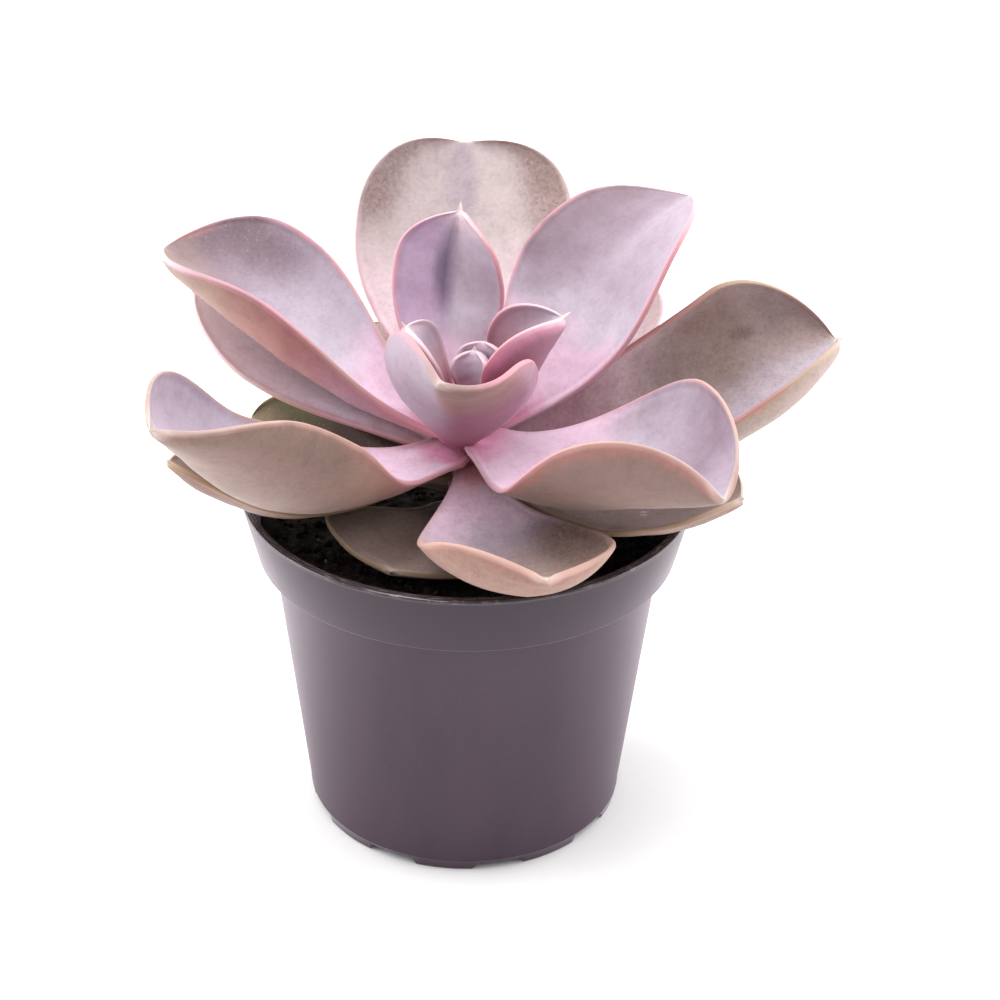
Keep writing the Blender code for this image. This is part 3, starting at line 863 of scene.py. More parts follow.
@dataclass
class Skin:
    """How one leaf's skin is coloured: (share of the length, tone) from base to tip.

    fringe        tone of the upper face by its margin, how far in it reaches, and how strong
    under_fringe  the same for the underside
    speckle       strength of the dark and pale specks all over
    crease        depth of the fold along the midrib, in millimetres
    scars         small marks: millimetres along and across, radius, tone, and 1 for the
                  upper face or -1 for the underside
    """
    face: tuple
    under: tuple
    margin: tuple
    fringe: tuple = ("haze", 4.0, 0.0)
    under_fringe: tuple = ("clay", 4.0, 0.4)
    washes: tuple = ()
    speckle: float = 0.2
    crease: float = 0.3
    scars: tuple = ()


OLD_UNDER = ((0.0, "sand"), (0.6, "tan"))
YOUNG_UNDER = ((0.1, "plum"), (0.5, "wine"), (0.8, "wine"), (1.0, "rose"))

SKINS = {
    "leaf_back": Skin(
        face=((0.2, "orchid"), (0.5, "petal"), (0.7, "greige")),
        under=OLD_UNDER, margin=((0.3, "coral"), (0.6, "blush"), (1.0, "greige")),
        washes=(Wash("fawn", 0.86, 1.0, (0.24, 0.5), 0.95, specks=1.0),
                Wash("fawn", 0.8, -1.0, (0.3, 0.6), 1.0, specks=1.0),
                Wash("taupe", 0.85, -0.95, (0.16, 0.35), 0.7),
                Wash("haze", 0.88, 0.03, (0.2, 0.24), 0.7)),
        speckle=0.3, crease=0.2),
    "leaf_right": Skin(
        face=((0.1, "rose"), (0.25, "rose"), (0.4, "blush"), (0.52, "fawn"), (0.68, "taupe"),
              (0.8, "fawn")),
        under=((0.3, "taupe"), (0.7, "sand")),
        margin=((0.2, "rose"), (0.4, "coral"), (0.6, "clay"), (0.8, "khaki"), (1.0, "peach")),
        under_fringe=("khaki", 3.0, 0.5),
        washes=(Wash("pearl", 0.78, -0.7, (0.5, 0.95), 1.0),
                Wash("tan", 0.66, 0.8, (0.12, 0.35), 0.6),
                Wash("bark", 0.75, 0.42, (0.05, 0.1), 0.6)),
        speckle=0.7, scars=((74.0, -4.0, 0.5, "umber", 1),)),
    "leaf_back_right": Skin(
        face=((0.03, "plum"), (0.1, "fuchsia"), (0.2, "orchid"), (0.35, "orchid"),
              (0.45, "pearl"), (0.58, "haze")),
        under=OLD_UNDER, margin=((0.2, "rose"), (0.5, "coral"), (0.75, "coral"), (1.0, "blush")),
        # The two darker areas on one half, and the faint one on the other, are painted shade across
        # the fold along the midrib
        washes=(Wash("mauve", 0.78, 0.8, (0.42, 0.95), 1.0, 0.5, half=1),
                Wash("dusk", 0.74, 0.95, (0.3, 0.65), 0.85, 0.8, half=1),
                Wash("mauve", 0.68, -0.35, (0.3, 0.65), 0.3, 0.9, half=-1)),
        speckle=0.15, crease=0.6),
    "leaf_left_back": Skin(
        # The greys near the end of the face are painted shade
        face=((0.06, "fuchsia"), (0.14, "orchid"), (0.3, "orchid"), (0.44, "pearl"),
              (0.62, "haze"), (0.8, "mauve"), (0.9, "dusk"), (1.0, "taupe")),
        under=((0.05, "coral"), (0.25, "rose"), (0.5, "clay"), (0.8, "apricot"), (1.0, "tan")),
        margin=((0.1, "coral"), (0.35, "peach"), (0.6, "coral"), (0.85, "rose"), (1.0, "blush")),
        washes=(Wash("pearl", 0.45, 0.7, (0.5, 0.7), 0.25, half=1),
                Wash("pearl", 0.58, -0.4, (0.3, 0.5), 0.3, half=-1),
                Wash("taupe", 0.88, 0.3, (0.18, 0.8), 0.8, 0.9),
                # Painted shade beside this margin, over real speckling
                Wash("dusk", 0.82, -0.7, (0.26, 0.6), 0.85, 0.8, specks=0.5),
                Wash("clay", 0.94, -0.9, (0.06, 0.25), 0.5)),
        speckle=0.2, crease=0.5),
    "leaf_left_under": Skin(
        # The pale end of the face is painted light, in the shade of the leaf above
        face=((0.1, "rose"), (0.25, "petal"), (0.35, "painted_light")),
        under=((0.3, "bark"), (0.8, "bark"), (1.0, "tan")),
        margin=((0.2, "coral"), (0.5, "peach"), (0.8, "blush")),
        fringe=("petal", 3.0, 0.4), speckle=0.15),
    "leaf_right_front": Skin(
        # The grey-mauve near the end of the face, and the area on one half, are painted shade
        face=((0.01, "fuchsia"), (0.08, "orchid"), (0.3, "orchid"), (0.45, "pearl"),
              (0.62, "haze"), (0.78, "mauve"), (0.92, "haze")),
        under=((0.2, "bark"), (0.4, "tan")),
        margin=((0.2, "rose"), (0.45, "coral"), (0.75, "peach"), (1.0, "sand")),
        under_fringe=("clay", 4.5, 0.8),
        washes=(Wash("mauve", 0.45, 0.9, (0.22, 0.5), 0.6, 0.9, half=1),),
        speckle=0.15, crease=0.4,
        scars=((27.0, 14.0, 1.0, "plum", -1),)),
    "leaf_left_front": Skin(
        face=((0.02, "fuchsia"), (0.07, "orchid"), (0.2, "orchid"), (0.35, "pearl"),
              (0.6, "pearl"), (0.85, "haze")),
        under=((0.2, "clay"), (0.4, "apricot"), (0.55, "tan"), (0.95, "tan")),
        margin=((0.15, "coral"), (0.5, "peach"), (0.8, "peach"), (1.0, "sand")),
        under_fringe=("clay", 3.0, 0.6),
        washes=(Wash("rose", 0.03, -1.0, (0.1, 0.6), 0.7),
                Wash("sand", 0.68, 0.1, (0.45, 0.5), 0.5, under=True),
                Wash("bark", 0.75, 0.88, (0.45, 0.3), 0.7, under=True)),
        speckle=0.25, crease=0.3),
    "leaf_front": Skin(
        face=((0.05, "coral"), (0.2, "orchid"), (0.28, "orchid"), (0.42, "haze"),
              (0.6, "fawn"), (0.8, "taupe")),
        under=((0.3, "tan"), (0.7, "apricot")),
        margin=((0.2, "rose"), (0.5, "peach")),
        washes=(Wash("orchid", 0.3, -0.7, (0.35, 0.5), 0.6),
                Wash("bark", 0.62, 0.85, (0.35, 0.6), 0.65, specks=1.0)),
        speckle=0.5),
    "leaf_right_low": Skin(
        face=((0.2, "taupe"), (0.35, "sand"), (0.5, "fawn"), (0.8, "fawn"), (1.0, "sand")),
        under=OLD_UNDER, margin=((0.3, "khaki"), (0.9, "khaki"), (1.0, "sand")),
        washes=(Wash("bark", 0.45, -1.0, (0.35, 0.3), 0.4),),
        speckle=0.8, scars=((39.0, -4.0, 0.8, "cream", 1), (39.5, -6.0, 0.8, "cream", 1))),
    "leaf_left_low": Skin(
        face=((0.2, "bark"), (0.7, "tan"), (1.0, "taupe")),
        under=((0.3, "tan"), (0.8, "tan"), (1.0, "bark")),
        margin=((0.3, "khaki"), (1.0, "khaki")), speckle=0.6),
    "leaf_front_left_low": Skin(
        face=((0.1, "umber"), (0.3, "taupe"), (0.6, "sand")), under=OLD_UNDER,
        margin=((0.3, "khaki"), (1.0, "khaki")),
        washes=(Wash("bark", 0.45, -0.95, (0.45, 0.4), 0.5),), speckle=0.8),
    "leaf_back_left_low": Skin(
        # The dark brown low on the face and margin is painted shade, where the leaves above cover
        # it
        face=((0.3, "umber"), (0.6, "umber"), (0.76, "olive")),
        under=OLD_UNDER, margin=((0.3, "umber"), (0.7, "olive"), (0.9, "khaki")),
        washes=(Wash("khaki", 0.95, 0.0, (0.2, 0.9), 0.6, 0.9),), speckle=0.5),
    "leaf_behind_right": Skin(
        face=((0.2, "haze"), (0.75, "blush"), (1.0, "fawn")), under=OLD_UNDER,
        margin=((0.3, "blush"), (1.0, "blush")), speckle=0.4),
    "leaf_back_low": Skin(
        face=((0.2, "taupe"), (1.0, "fawn")), under=OLD_UNDER,
        margin=((0.3, "peach"), (1.0, "khaki")), speckle=0.6),
    "leaf_inner_back": Skin(
        face=((0.15, "orchid"), (0.28, "orchid"), (0.42, "pearl"), (0.6, "haze"), (0.8, "haze"),
              (0.95, "blush")),
        under=YOUNG_UNDER, margin=((0.2, "coral"), (0.5, "coral"), (0.85, "coral"), (1.0, "blush")),
        fringe=("rose", 2.5, 0.4),
        # The violet and slate areas on one half are partly painted shade beyond the fold and partly
        # the blade's own darker stripe; the grey-mauve area on the other half is painted shade
        washes=(Wash("violet", 0.6, 0.75, (0.45, 0.95), 0.9, 0.4, half=1),
                Wash("slate", 0.7, 0.04, (0.3, 0.42), 1.0, 0.7, half=1),
                Wash("slate", 0.45, 0.0, (0.3, 0.2), 0.2, 0.9, half=1),
                Wash("mauve", 0.74, 0.0, (0.16, 0.35), 0.7, 0.9, half=-1)),
        speckle=0.08, crease=0.7),
    "heart_leaf_front": Skin(
        face=((0.1, "plum"), (0.5, "wine"), (1.0, "rose")),
        under=((0.03, "plum"), (0.12, "wine"), (0.4, "wine"), (0.7, "clay"), (1.0, "tan")),
        margin=((0.1, "wine"), (0.5, "coral"), (0.8, "coral"), (0.97, "sand")),
        under_fringe=("rose", 2.5, 0.25),
        # The pale area on one half of the underside and the tan on the other are painted light and
        # painted shade of its keel
        washes=(Wash("haze", 0.62, -0.6, (0.6, 0.95), 0.95, 0.4, half=-1, under=True),
                Wash("tan", 0.8, 0.35, (0.55, 0.8), 0.8, 0.9, half=1, under=True),
                Wash("orchid", 0.45, 1.05, (0.4, 0.35), 0.5, under=True)),
        speckle=0.08, crease=0.5),
    "heart_leaf_right": Skin(
        face=((0.1, "plum"), (0.3, "wine"), (0.5, "rose"), (0.8, "haze")), under=YOUNG_UNDER,
        margin=((0.2, "coral"), (0.6, "coral"), (0.9, "blush")),
        under_fringe=("fuchsia", 3.5, 0.7), speckle=0.08),
    "heart_leaf_left": Skin(
        face=((0.1, "plum"), (0.4, "rose"), (0.7, "haze"), (1.0, "blush")), under=YOUNG_UNDER,
        margin=((0.2, "coral"), (0.6, "blush")), speckle=0.08),
    "heart_bud": Skin(
        face=((0.1, "wine"), (0.5, "haze"), (0.7, "pearl"), (1.0, "orchid")),
        under=((0.1, "wine"), (0.45, "violet"), (0.8, "pearl"), (1.0, "orchid")),
        margin=((0.2, "rose"), (0.6, "blush")), speckle=0.05),
    "heart_leaf_small": Skin(
        # The grey-mauve in the middle of the face is painted shade
        face=((0.1, "wine"), (0.5, "mauve"), (0.8, "haze"), (1.0, "orchid")),
        under=((0.1, "wine"), (0.6, "rose"), (1.0, "orchid")),
        margin=((0.2, "rose"), (0.6, "blush")), speckle=0.05, crease=0.1),
}
SLOT_OF = {part["node"]: part["material_slot"] for part in frame["record"]["subparts"]}


def bezier(values, t):
    """A smooth run through the control values, for t from 0 at the base to 1 at the tip."""
    last = len(values) - 1
    return sum(comb(last, k) * (1 - t) ** (last - k) * t ** k * value
               for k, value in enumerate(values))


def half_width(leaf, t):
    """Half the blade's width: a claw that widens, a rounded end and a small spine."""
    grow = np.clip(t / leaf.widest, 0, 1)
    rise = leaf.claw + (1 - leaf.claw) * (0.5 - 0.5 * np.cos(np.pi * grow)) ** leaf.fill
    body_end = 1 - leaf.tip / leaf.length
    shrink = np.clip((t - leaf.widest) / (body_end - leaf.widest), 0, 1)
    fall = (1 - shrink ** leaf.blunt) ** leaf.corner
    spine_start = 1 - 2.4 * leaf.tip / leaf.length
    taper = np.clip((1 - t) / (1 - spine_start), 0, 1) ** 0.8
    spine = leaf.spine / leaf.width * taper * (t > spine_start - 0.05)
    end = (fall ** 3 + spine ** 3) ** (1 / 3)
    return leaf.width / 2 * np.where(t < leaf.widest, rise, end)


MIDRIB_STEPS = 200


def midrib(leaf, t):
    """Points of the midrib, with the directions along, across and out of the blade."""
    fine = np.linspace(0, 1, MIDRIB_STEPS + 1)

    def heading(at):
        climb = np.radians(bezier(leaf.climb, at))
        swing = np.radians(leaf.swing * at)
        along = [np.cos(climb) * np.cos(swing), np.cos(climb) * np.sin(swing), np.sin(climb)]
        return np.stack(along, -1), swing

    step = heading(fine)[0] * leaf.length / MIDRIB_STEPS
    path = np.vstack([[0, 0, 0], np.cumsum((step[1:] + step[:-1]) / 2, 0)])
    points = np.stack([np.interp(t, fine, path[:, k]) for k in range(3)], -1)
    along, swing = heading(t)
    across = np.stack([-np.sin(swing), np.cos(swing), 0 * swing], -1)
    outward = np.cross(along, across)
    twist = np.radians(bezier(leaf.twist, t))[:, None]
    turned_across = np.cos(twist) * across + np.sin(twist) * outward
    turned_outward = np.cos(twist) * outward - np.sin(twist) * across
    return points, along, turned_across, turned_outward


MARGIN_POINTS = 7
# Rings of the spine, as shares of the way from the end of the body to the tip
SPINE_RINGS = (0.2, 0.4, 0.6, 0.8, 0.94)
# Rings of a leaf's base, in millimetres past the end of its solid, that sink into the stem
ROOT_DEPTHS = (2.7, 1.8, 0.9)
FOLD_WIDTH = 3.5
# A shallow hollow runs beside the margin of the upper face
HOLLOW_DEPTH = 0.16
HOLLOW_INSET = 1.4
HOLLOW_WIDTH = 0.9
# Width of the border at the midrib of an area on one half of a blade, where painted shade on one
# half meets the other
MIDRIB_BORDER = 1.6
# Third value of a spot on the upper face, and less than 0 on the underside, so that a scar
# of one face doesn't show on the other
FACE_APART = 10.0
# What is known of each point of a leaf: its share of the length and of the half width,
# 1 if it lies on the underside, and millimetres in from the margin and off the midrib
ALONG, SHARE, UNDER, RIM, ACROSS = range(5)


def section(count):
    """Points round the blade: share of the half width, lift and reach past the flat face.

    The margin is a squared-off band, as it is on the real leaf, so its arc is flattened.
    """
    shares = np.cos(np.linspace(0, np.pi, count))
    arc = np.linspace(0, np.pi, MARGIN_POINTS + 2)[1:-1]
    band = [(np.sign(np.cos(a)) * abs(np.cos(a)) ** 0.7, np.sin(a) ** 0.7) for a in arc]
    upper = [(share, 1.0, 0.0) for share in shares]
    lower = [(-share, -1.0, 0.0) for share in shares]
    near = [(-1.0, lift, reach) for lift, reach in band]
    far = [(1.0, -lift, reach) for lift, reach in band]
    return upper + near + lower + far


def ripple(rng, t, share):
    """Gentle unevenness of a blade, within about -1 to 1."""
    total = 0.0
    for size in (1.0, 0.8, 0.6, 0.45, 0.3):
        along, side, phase = rng.uniform(1.5, 9), rng.uniform(-5, 5), rng.uniform(0, tau)
        total = total + size * np.sin(along * t * np.pi + side * share + phase)
    return total / 1.8


def faded(t, base, tip):
    """Rises from 0 to 1 over the share base of a leaf, and falls to 0 over the share tip."""
    return np.clip(t / base, 0, 1) * np.clip((1 - t) / tip, 0, 1)


def leaf_points(leaf, crease, settings, seed):
    """Points of the blade by ring and place round it, its tip, and what is known of each."""
    count = max(13, round(leaf.width * MM / settings.grain) | 1)
    rings = max(24, round(leaf.length * MM / settings.grain * 1.25))
    body_end = 1 - 1.15 * leaf.tip / leaf.length
    spread = np.linspace(0, 1, rings - len(SPINE_RINGS))
    body = body_end * (1 - (1 - spread) ** 1.25)
    spine = body_end + (1 - body_end) * np.array(SPINE_RINGS)
    t = np.concatenate([body, spine])
    points, along, across, outward = midrib(leaf, t)
    width = half_width(leaf, t)
    edge = np.minimum(settings.margin / MM, 0.45 * width)
    flesh = np.minimum(leaf.thick * (0.3 + 1.8 * t - 1.95 * t ** 2), 0.7 * width)
    curl = np.radians(bezier(leaf.cup, t)) / width
    curl = np.where(np.abs(curl) < 1e-6, 1e-6, curl)
    # Relief fades at the base and the tip, where neighbours are close
    relief = settings.ripple / MM * faded(t, base=0.25, tip=0.12)
    fold = crease * faded(t, base=0.2, tip=0.1)
    columns, skin = [], []
    for share, face, reach in section(count):
        side = 1 if share >= 0 else -1
        run = abs(share) * np.maximum(width - edge, 0)
        own = np.random.default_rng(seed)
        sheet = relief * ripple(own, t, share)
        upper_relief = 0.3 * relief * ripple(own, 2.3 * t, 1.7 * share)
        lift = edge * face + sheet - fold * np.exp(-run / FOLD_WIDTH)
        if not reach:
            inset = width * (1 - abs(share)) - HOLLOW_INSET
            hollow = HOLLOW_DEPTH * np.exp(-(inset / HOLLOW_WIDTH) ** 2)
            # A fifth of the flesh lies over the sheet of the blade, and the rest under it
            body = (0.2 if face > 0 else -0.8) * flesh * (1 - share ** 2)
            lift = lift + body + (upper_relief - hollow if face > 0 else -upper_relief)
        sideways = np.sin(curl * run) / curl + np.cos(curl * run) * edge * reach
        sideways = sideways - np.sin(curl * run) * lift
        upward = (1 - np.cos(curl * run)) / curl + np.sin(curl * run) * edge * reach
        upward = upward + np.cos(curl * run) * lift
        forward = leaf.lobe * share ** 2 * t ** 2
        columns.append(points + (side * sideways)[:, None] * across
                       + upward[:, None] * outward + forward[:, None] * along)
        if reach:
            rim = 1.2 * edge * abs(face)
        else:
            rim = 1.2 * edge + (1 - abs(share)) * (width - edge)
        skin.append(np.stack([t, share + 0 * t, 0.5 - 0.5 * face + 0 * t, rim,
                              share * width], -1))
    tip = midrib(leaf, np.array([1.0]))[0][0]
    grid, skin = np.stack(columns, 1), np.stack(skin, 1)
    inward = along[0] + np.array([min(leaf.out / 4, 1), 0, 0])
    inward = inward / np.linalg.norm(inward)
    middle = grid[0].mean(0)
    root = [middle + (grid[0] - middle) * (1 - 0.1 * depth) - inward * depth
            for depth in ROOT_DEPTHS]
    return (np.concatenate([root, grid]), tip,
            np.concatenate([np.repeat(skin[:1], len(root), 0), skin]))


def wash_strength(wash, skin):
    """Strength of a wash at each point: full in its middle, and none on the other face."""
    ahead = (skin[..., ALONG] - wash.along) / wash.reach[0]
    aside = (skin[..., SHARE] - wash.across) / wash.reach[1]
    share = np.clip((1 - np.hypot(ahead, aside)) / wash.soft, 0, 1)
    strength = smooth_step(share)
    strength *= skin[..., UNDER] if wash.under else 1 - skin[..., UNDER]
    if wash.half:
        strength *= np.clip(wash.half * skin[..., ACROSS] / MIDRIB_BORDER + 0.5, 0, 1)
    return strength


def succulent_skin(name, leaf, look, tones):
    """Leaf skin of a succulent, grown: watery flesh under wax, with a powder of bloom.

    Light sinks a little way into the flesh, so thin margins glow. The bloom scatters light
    softly, thins to a greyer skin where it was rubbed, and is speckled with bare dots. Some
    washes of darker and paler tone are painted shade and painted light across folds and under
    other leaves. The margin has no bloom, so it is pinker and a little glossier.
    """
    material, tree, shader, place = new_material("waxy_succulent_skin_" + name)
    tone = {which: paint(getattr(tones, which)) for which in TONES}
    washes = [f"wash_{number}" for number in range(len(look.washes))]
    data = {column: add_node(tree, "Attribute", out="Fac", attribute_name=column)
            for column in ("along", "under", "rim", "specks", *washes)}

    # Clouds of bloom, 9 mm across, also push the borders between tones about
    clouds = add_node(tree, "TexNoise", {"Vector": place, "Scale": 1 / (9 * MM), "Detail": 5.0})
    swell = add_node(tree, "MapRange", {
        "Value": clouds, "From Min": 0.2, "From Max": 0.8, "To Min": -1.0, "To Max": 1.0}, **EASED)
    along = add_node(tree, "Math", {0: swell, 1: 0.04, 2: data["along"]},
                     operation="MULTIPLY_ADD")
    # The margin's tone creeps in and out by up to 0.4 mm, and the fringe behind it by 1.5 mm
    inset = add_node(tree, "Math", {0: swell, 1: 0.4, 2: data["rim"]}, operation="MULTIPLY_ADD")
    ragged = add_node(tree, "Math", {0: swell, 1: 1.5, 2: data["rim"]}, operation="MULTIPLY_ADD")
    upper, lower, margin = (
        add_node(tree, "ValToRGB", {"Fac": along}, stops=[(at, tone[which]) for at, which in run])
        for run in (look.face, look.under, look.margin))
    faces = []
    for face, (fringe, reach, strength) in ((upper, look.fringe), (lower, look.under_fringe)):
        by_margin = add_node(tree, "MapRange", {
            "Value": ragged, "From Min": 0.5, "From Max": reach, "To Min": strength,
            "To Max": 0.0}, **EASED)
        faces.append(add_node(tree, "Mix", {
            MIX_FACTOR: by_margin, MIX_A: face, MIX_B: tone[fringe]}, **OF_COLOURS))
    skin = add_node(tree, "Mix", {
        MIX_FACTOR: data["under"], MIX_A: faces[0], MIX_B: faces[1]}, **OF_COLOURS)

    # Layers over that, from the lowest: how strong, of what colour, and how they blend
    layers = []
    for column, wash in zip(washes, look.washes):
        uneven = add_node(tree, "Math", {
            0: swell, 1: 0.225 * wash.strength, 2: 0.925 * wash.strength},
            operation="MULTIPLY_ADD")
        washed = add_node(tree, "Math", {0: data[column], 1: uneven}, operation="MULTIPLY")
        layers.append((washed, tone[wash.tone], "MIX"))
    # Smears where the bloom was touched or wetted, 3.5 mm across
    smears = add_node(tree, "TexNoise", {
        "Vector": place, "Scale": 1 / (3.5 * MM), "Detail": 6.0, "Roughness": 0.7})
    smeared = add_node(tree, "MapRange", {
        "Value": smears, "From Min": 0.42, "From Max": 0.7,
        "To Max": 0.5 + 0.3 * look.speckle}, **EASED)
    layers.append((smeared, paint(linear("#E5E1E3")), "MULTIPLY"))
    # Powder of the bloom: grains of 0.5 mm, drawn twice their size so that they show
    powder = add_node(tree, "TexNoise", {
        "Vector": place, "Scale": 1 / (1.0 * MM), "Detail": 5.0, "Roughness": 0.65})
    grains = add_node(tree, "MapRange", {
        "Value": powder, "From Min": 0.35, "From Max": 0.7, "To Max": 0.4}, **EASED)
    everywhere = add_node(tree, "Math", {0: data["specks"], 1: 0.35}, operation="ADD")
    grainy = add_node(tree, "Math", {0: grains, 1: everywhere}, operation="MULTIPLY")
    layers.append((grainy, paint(linear("#CEC5C5")), "MULTIPLY"))
    # Bare dots and pale flakes of bloom, 0.4 mm
    dots = add_node(tree, "TexNoise", {"Vector": place, "Scale": 1 / (0.8 * MM), "Detail": 3.0})
    for start, full, strength, which in ((0.6, 0.7, 0.3, "umber"), (0.38, 0.3, 0.25, "blush")):
        dotted = add_node(tree, "MapRange", {
            "Value": dots, "From Min": start, "From Max": full, "To Max": strength}, **EASED)
        strewn = add_node(tree, "Math", {0: dotted, 1: data["specks"]}, operation="MULTIPLY")
        layers.append((strewn, tone[which], "MIX"))
    for along_mm, across_mm, radius, which, side in look.scars:
        spot = add_node(tree, "Attribute", out="Vector", attribute_name="spot")
        off = add_node(tree, "VectorMath", {
            0: spot, 1: (along_mm, across_mm, FACE_APART * side)}, "Value", operation="DISTANCE")
        jagged = add_node(tree, "MapRange", {
            "Value": powder, "From Min": 0.2, "From Max": 0.8, "To Min": -1.0, "To Max": 1.0},
            **EASED)
        broken = add_node(tree, "Math", {0: off, 1: jagged}, operation="ADD")
        scarred = add_node(tree, "MapRange", {
            "Value": broken, "From Min": radius, "From Max": 0.4 * radius, "To Max": 0.8}, **EASED)
        layers.append((scarred, tone[which], "MIX"))
    at_margin = add_node(tree, "MapRange", {
        "Value": inset, "From Min": 1.6, "From Max": 0.2, "To Max": 0.8}, **EASED)
    layers.append((at_margin, margin, "MIX"))
    at_tip = add_node(tree, "MapRange", {
        "Value": data["along"], "From Min": 1 - 1.6 * leaf.tip / leaf.length,
        "To Max": 0.8}, **EASED)
    layers.append((at_tip, tone["cream"], "MIX"))
    for strength, layer, blend in layers:
        skin = add_node(tree, "Mix", {
            MIX_FACTOR: strength, MIX_A: skin, MIX_B: layer}, blend_type=blend, **OF_COLOURS)

    connect(tree, shader, {
        "Base Color": skin, "IOR": 1.4,
        "Roughness": add_node(tree, "MapRange", {
            "Value": at_margin, "To Min": 0.62, "To Max": 0.42}),
        "Subsurface Weight": 0.12, "Subsurface Radius": (1.0, 0.45, 0.4),
        "Subsurface Scale": 1.6 * MM, "Sheen Weight": 0.12, "Sheen Roughness": 0.5,
        "Normal": add_node(tree, "Bump", {
            "Strength": 0.35, "Distance": 0.06 * MM, "Height": powder})})
    return material


def make_leaf(name, leaf, look, settings, tones, seed):
    """Makes the skin of one leaf, in place of its solid, and stores what its colours need."""
    grid, tip, skin = leaf_points(leaf, look.crease, settings, seed)
    turn = radians(leaf.turn)
    base = Vector((leaf.out * cos(turn) + leaf.shift[0], leaf.out * sin(turn) + leaf.shift[1],
                   leaf.height))
    place = Matrix.Translation(base * MM) @ Matrix.Rotation(turn, 4, "Z")
    # The middle of the root and the tip come last, and lie on neither face
    points = [*grid.reshape(-1, 3), grid[0].mean(0), tip]
    skin = np.concatenate([skin.reshape(-1, 5), [[0, 0, 0.5, 9, 0], [1, 0, 0.5, 0, 0]]])
    mesh = closed_mesh(name + "_skin", [place @ Vector(point * MM) for point in points],
                       ring_faces(*grid.shape[:2]))
    columns = {"along": skin[:, ALONG], "under": skin[:, UNDER], "rim": skin[:, RIM],
               "specks": np.full(len(skin), look.speckle)}
    for number, wash in enumerate(look.washes):
        strength = wash_strength(wash, skin)
        columns[f"wash_{number}"] = strength
        columns["specks"] += wash.specks * strength
    for column, numbers in columns.items():
        stored = mesh.attributes.new(column, "FLOAT", "POINT")
        stored.data.foreach_set("value", numbers.astype(np.float32))
    spot = np.stack([skin[:, ALONG] * leaf.length, skin[:, ACROSS],
                     FACE_APART * (1 - 2 * skin[:, UNDER])], -1)
    stored = mesh.attributes.new("spot", "FLOAT_VECTOR", "POINT")
    stored.data.foreach_set("vector", spot.astype(np.float32).ravel())
    new_piece(mesh, succulent_skin(name, leaf, look, tones),
              name if name in SLOT_OF else None)


class ECHEVERIA_OT_leaves(bpy.types.Operator):
    """Grow the leaves of the rosette, from the oldest to the bud"""
    bl_idname = "echeveria.leaves"
    bl_label = "Leaves"

    def execute(self, context):
        scene = context.scene
        for number, (name, leaf) in enumerate(LEAVES.items()):
            make_leaf(name, leaf, SKINS[name], scene.echeveria_leaves, scene.echeveria_tones,
                      SEED + number)
        return {"FINISHED"}


# Studio
FLOOR_RADIUS = 20.0
# Light from low behind the camera, as a share of the light from the other sides
DIM_SHARE = 0.35
# The way the room grows brighter, and how far along it that starts and ends
BRIGHTER_TOWARDS = (0, 0.97, 0.2)
BRIGHTER_FROM, BRIGHTER_TO = -0.9, 0.1
# Name, setting, share of its power, width, place and target of each light, in metres
LIGHTS = (
    ("top_light", "top", 1.0, 0.9, (-0.1, 0.1, 1.1), (0, 0, 0.1)),
    ("left_light", "side", 1.15, 1.3, (-0.95, 0.2, 0.4), (0, 0, 0.08)),
    ("right_light", "side", 1.0, 1.3, (0.95, 0.3, 0.45), (0, 0, 0.08)),
)
# Height of the point that the camera's distance and elevation are taken from
AIM_HEIGHT = 42 * MM
# The lens is turned and rolled a little, as it was held
LENS_YAW, LENS_TILT, LENS_ROLL = radians(0.98), radians(-3.49), radians(1.08)
SENSOR_WIDTH = 36.0


def matt_paper(colour):
    """Backdrop paper, rolled out: white and matt, with the faintest tooth."""
    material, tree, shader, place = new_material("matt_backdrop_paper")
    # The tooth is 2 mm across
    tooth = add_node(tree, "TexNoise", {"Vector": place, "Scale": 1 / (2 * MM), "Detail": 2.0})
    connect(tree, shader, {
        "Base Color": add_node(tree, "ValToRGB", {"Fac": tooth}, stops=[
            (0.2, paint(colour, 0.985)), (0.8, paint(colour))]),
        "Roughness": 0.9, "IOR": 1.45})
    return material


def white_room(strength):
    """A world that is white all round, and dimmer low behind the camera, on the -Y side."""
    world = bpy.data.worlds.new("white_room")
    world.use_nodes = True
    tree = world.node_tree
    toward = add_node(tree, "TexCoord", out="Generated")
    back = add_node(tree, "VectorMath", {0: toward, 1: BRIGHTER_TOWARDS}, "Value",
                    operation="DOT_PRODUCT")
    connect(tree, tree.nodes["Background"], {
        "Color": paint(linear("#FFFFFF")),
        "Strength": add_node(tree, "MapRange", {
            "Value": back, "From Min": BRIGHTER_FROM, "From Max": BRIGHTER_TO,
            "To Min": DIM_SHARE * strength, "To Max": strength}, **EASED)})
    return world


def photo_camera(settings):
    """A camera that sees the plant as the photograph shows it."""
    away, lift = cos(settings.elevation), sin(settings.elevation)
    down = settings.elevation + LENS_TILT
    ahead = Vector((sin(LENS_YAW) * cos(down), cos(LENS_YAW) * cos(down), -sin(down)))
    level = Vector((cos(LENS_YAW), -sin(LENS_YAW), 0))
    upright = level.cross(ahead)
    right = cos(LENS_ROLL) * level + sin(LENS_ROLL) * upright
    top = cos(LENS_ROLL) * upright - sin(LENS_ROLL) * level
    turn = Matrix((right, top, -ahead)).transposed().to_4x4()
    place = Vector((0, -settings.distance * away, AIM_HEIGHT + settings.distance * lift))
    lens = bpy.data.cameras.new("camera")
    lens.lens = settings.lens
    lens.sensor_width = SENSOR_WIDTH
    camera = add_object("camera", lens)
    camera.matrix_world = Matrix.Translation(place) @ turn
    return camera


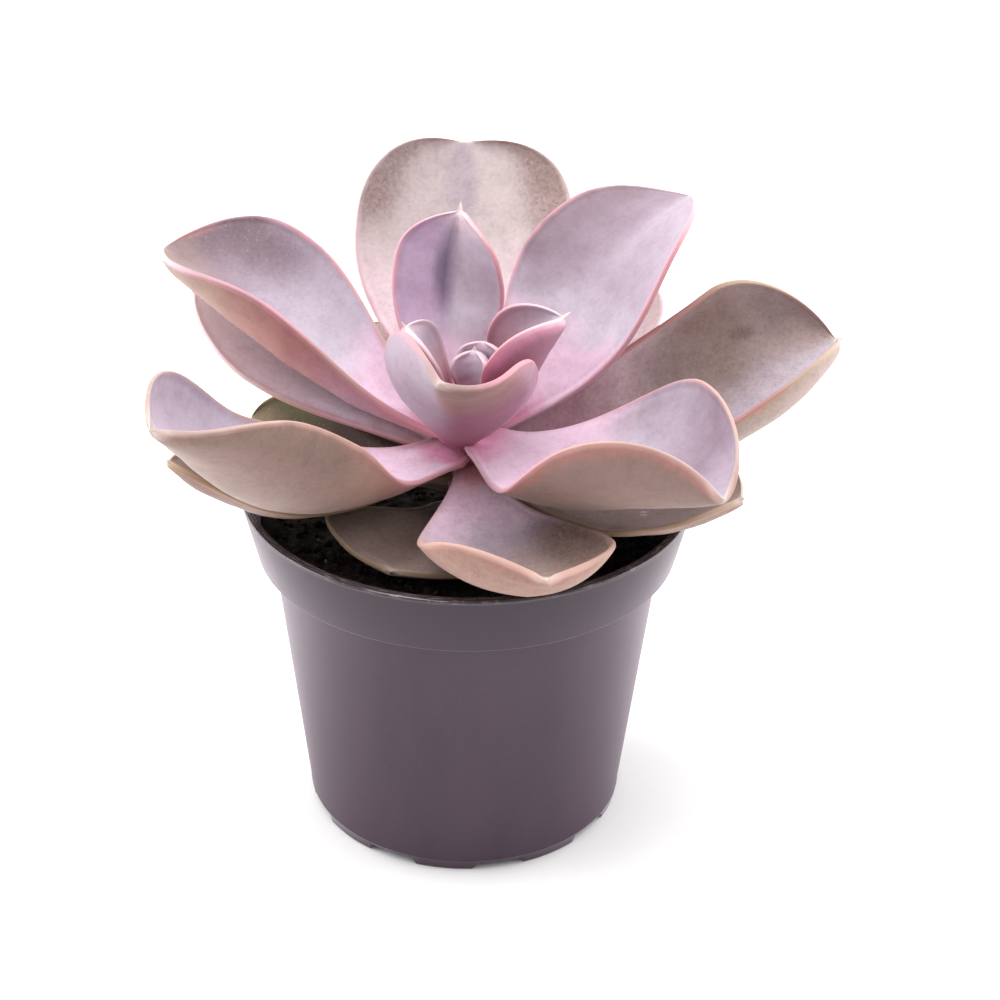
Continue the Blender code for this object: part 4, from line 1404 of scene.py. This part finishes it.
def soft_light(name, power, width, place, target):
    """Hangs a round, soft light that faces its target."""
    light = bpy.data.lights.new(name, "AREA")
    light.shape = "DISK"
    light.energy = power
    light.size = width
    lamp = add_object(name, light)
    lamp.location = place
    lamp.rotation_euler = (Vector(target) - Vector(place)).to_track_quat("-Z", "Y").to_euler()


class ECHEVERIA_OT_studio(bpy.types.Operator):
    """Set the pale floor, the soft lights and the camera of the photograph"""
    bl_idname = "echeveria.studio"
    bl_label = "Studio"

    def execute(self, context):
        scene = context.scene
        settings = scene.echeveria_studio
        bm = bmesh.new()
        bmesh.ops.create_circle(bm, cap_ends=True, segments=96, radius=FLOOR_RADIUS)
        mesh = finished_mesh("backdrop_paper", bm)
        mesh.materials.append(matt_paper(settings.floor))
        paper = add_object("backdrop_paper", mesh)
        scene.world = white_room(settings.sky)
        for name, setting, share, width, place, target in LIGHTS:
            soft_light(name, share * getattr(settings, setting), width, place, target)
        scene.camera = photo_camera(settings)
        scene.view_settings.view_transform = "Standard"
        return {"FINISHED"}


class ECHEVERIA_PT_sidebar(bpy.types.Panel):
    """Lists the settings and the pieces they make"""
    bl_label = "Potted Echeveria"
    bl_idname = "ECHEVERIA_PT_sidebar"
    bl_space_type = "VIEW_3D"
    bl_region_type = "UI"
    bl_category = "Echeveria"

    def draw(self, context):
        for title, group, operator in PIECES:
            box = self.layout.box()
            box.label(text=title)
            if group:
                settings = getattr(context.scene, group)
                for name in settings.__annotations__:
                    box.prop(settings, name)
            if operator:
                box.operator(operator)


# Boxes of the panel: title, settings and operator, where it has them
PIECES = (
    ("Studio", "echeveria_studio", "echeveria.studio"),
    ("Pot", "echeveria_pot", "echeveria.pot"),
    ("Potting mix", "echeveria_soil", "echeveria.soil"),
    ("Stem", "", "echeveria.stem"),
    ("Skin tones", "echeveria_tones", ""),
    ("Leaves", "echeveria_leaves", "echeveria.leaves"),
)
GROUPS = {
    "echeveria_pot": PotSettings,
    "echeveria_soil": SoilSettings,
    "echeveria_leaves": LeafSettings,
    "echeveria_tones": SkinTones,
    "echeveria_studio": StudioSettings,
}
CLASSES = (
    *GROUPS.values(), ECHEVERIA_OT_studio, ECHEVERIA_OT_pot, ECHEVERIA_OT_soil,
    ECHEVERIA_OT_stem, ECHEVERIA_OT_leaves, ECHEVERIA_PT_sidebar,
)


def register():
    """Registers the classes, and gives the scene its settings."""
    for item in CLASSES:
        bpy.utils.register_class(item)
    for name, group in GROUPS.items():
        setattr(bpy.types.Scene, name, PointerProperty(type=group))


def unregister():
    """Takes the settings off the scene, and unregisters the classes."""
    for name in GROUPS:
        delattr(bpy.types.Scene, name)
    for item in reversed(CLASSES):
        bpy.utils.unregister_class(item)


def main():
    """Builds the scene."""
    register()
    bpy.ops.echeveria.studio()
    bpy.ops.echeveria.pot()
    bpy.ops.echeveria.soil()
    bpy.ops.echeveria.stem()
    bpy.ops.echeveria.leaves()


if __name__ == "__main__":
    main()
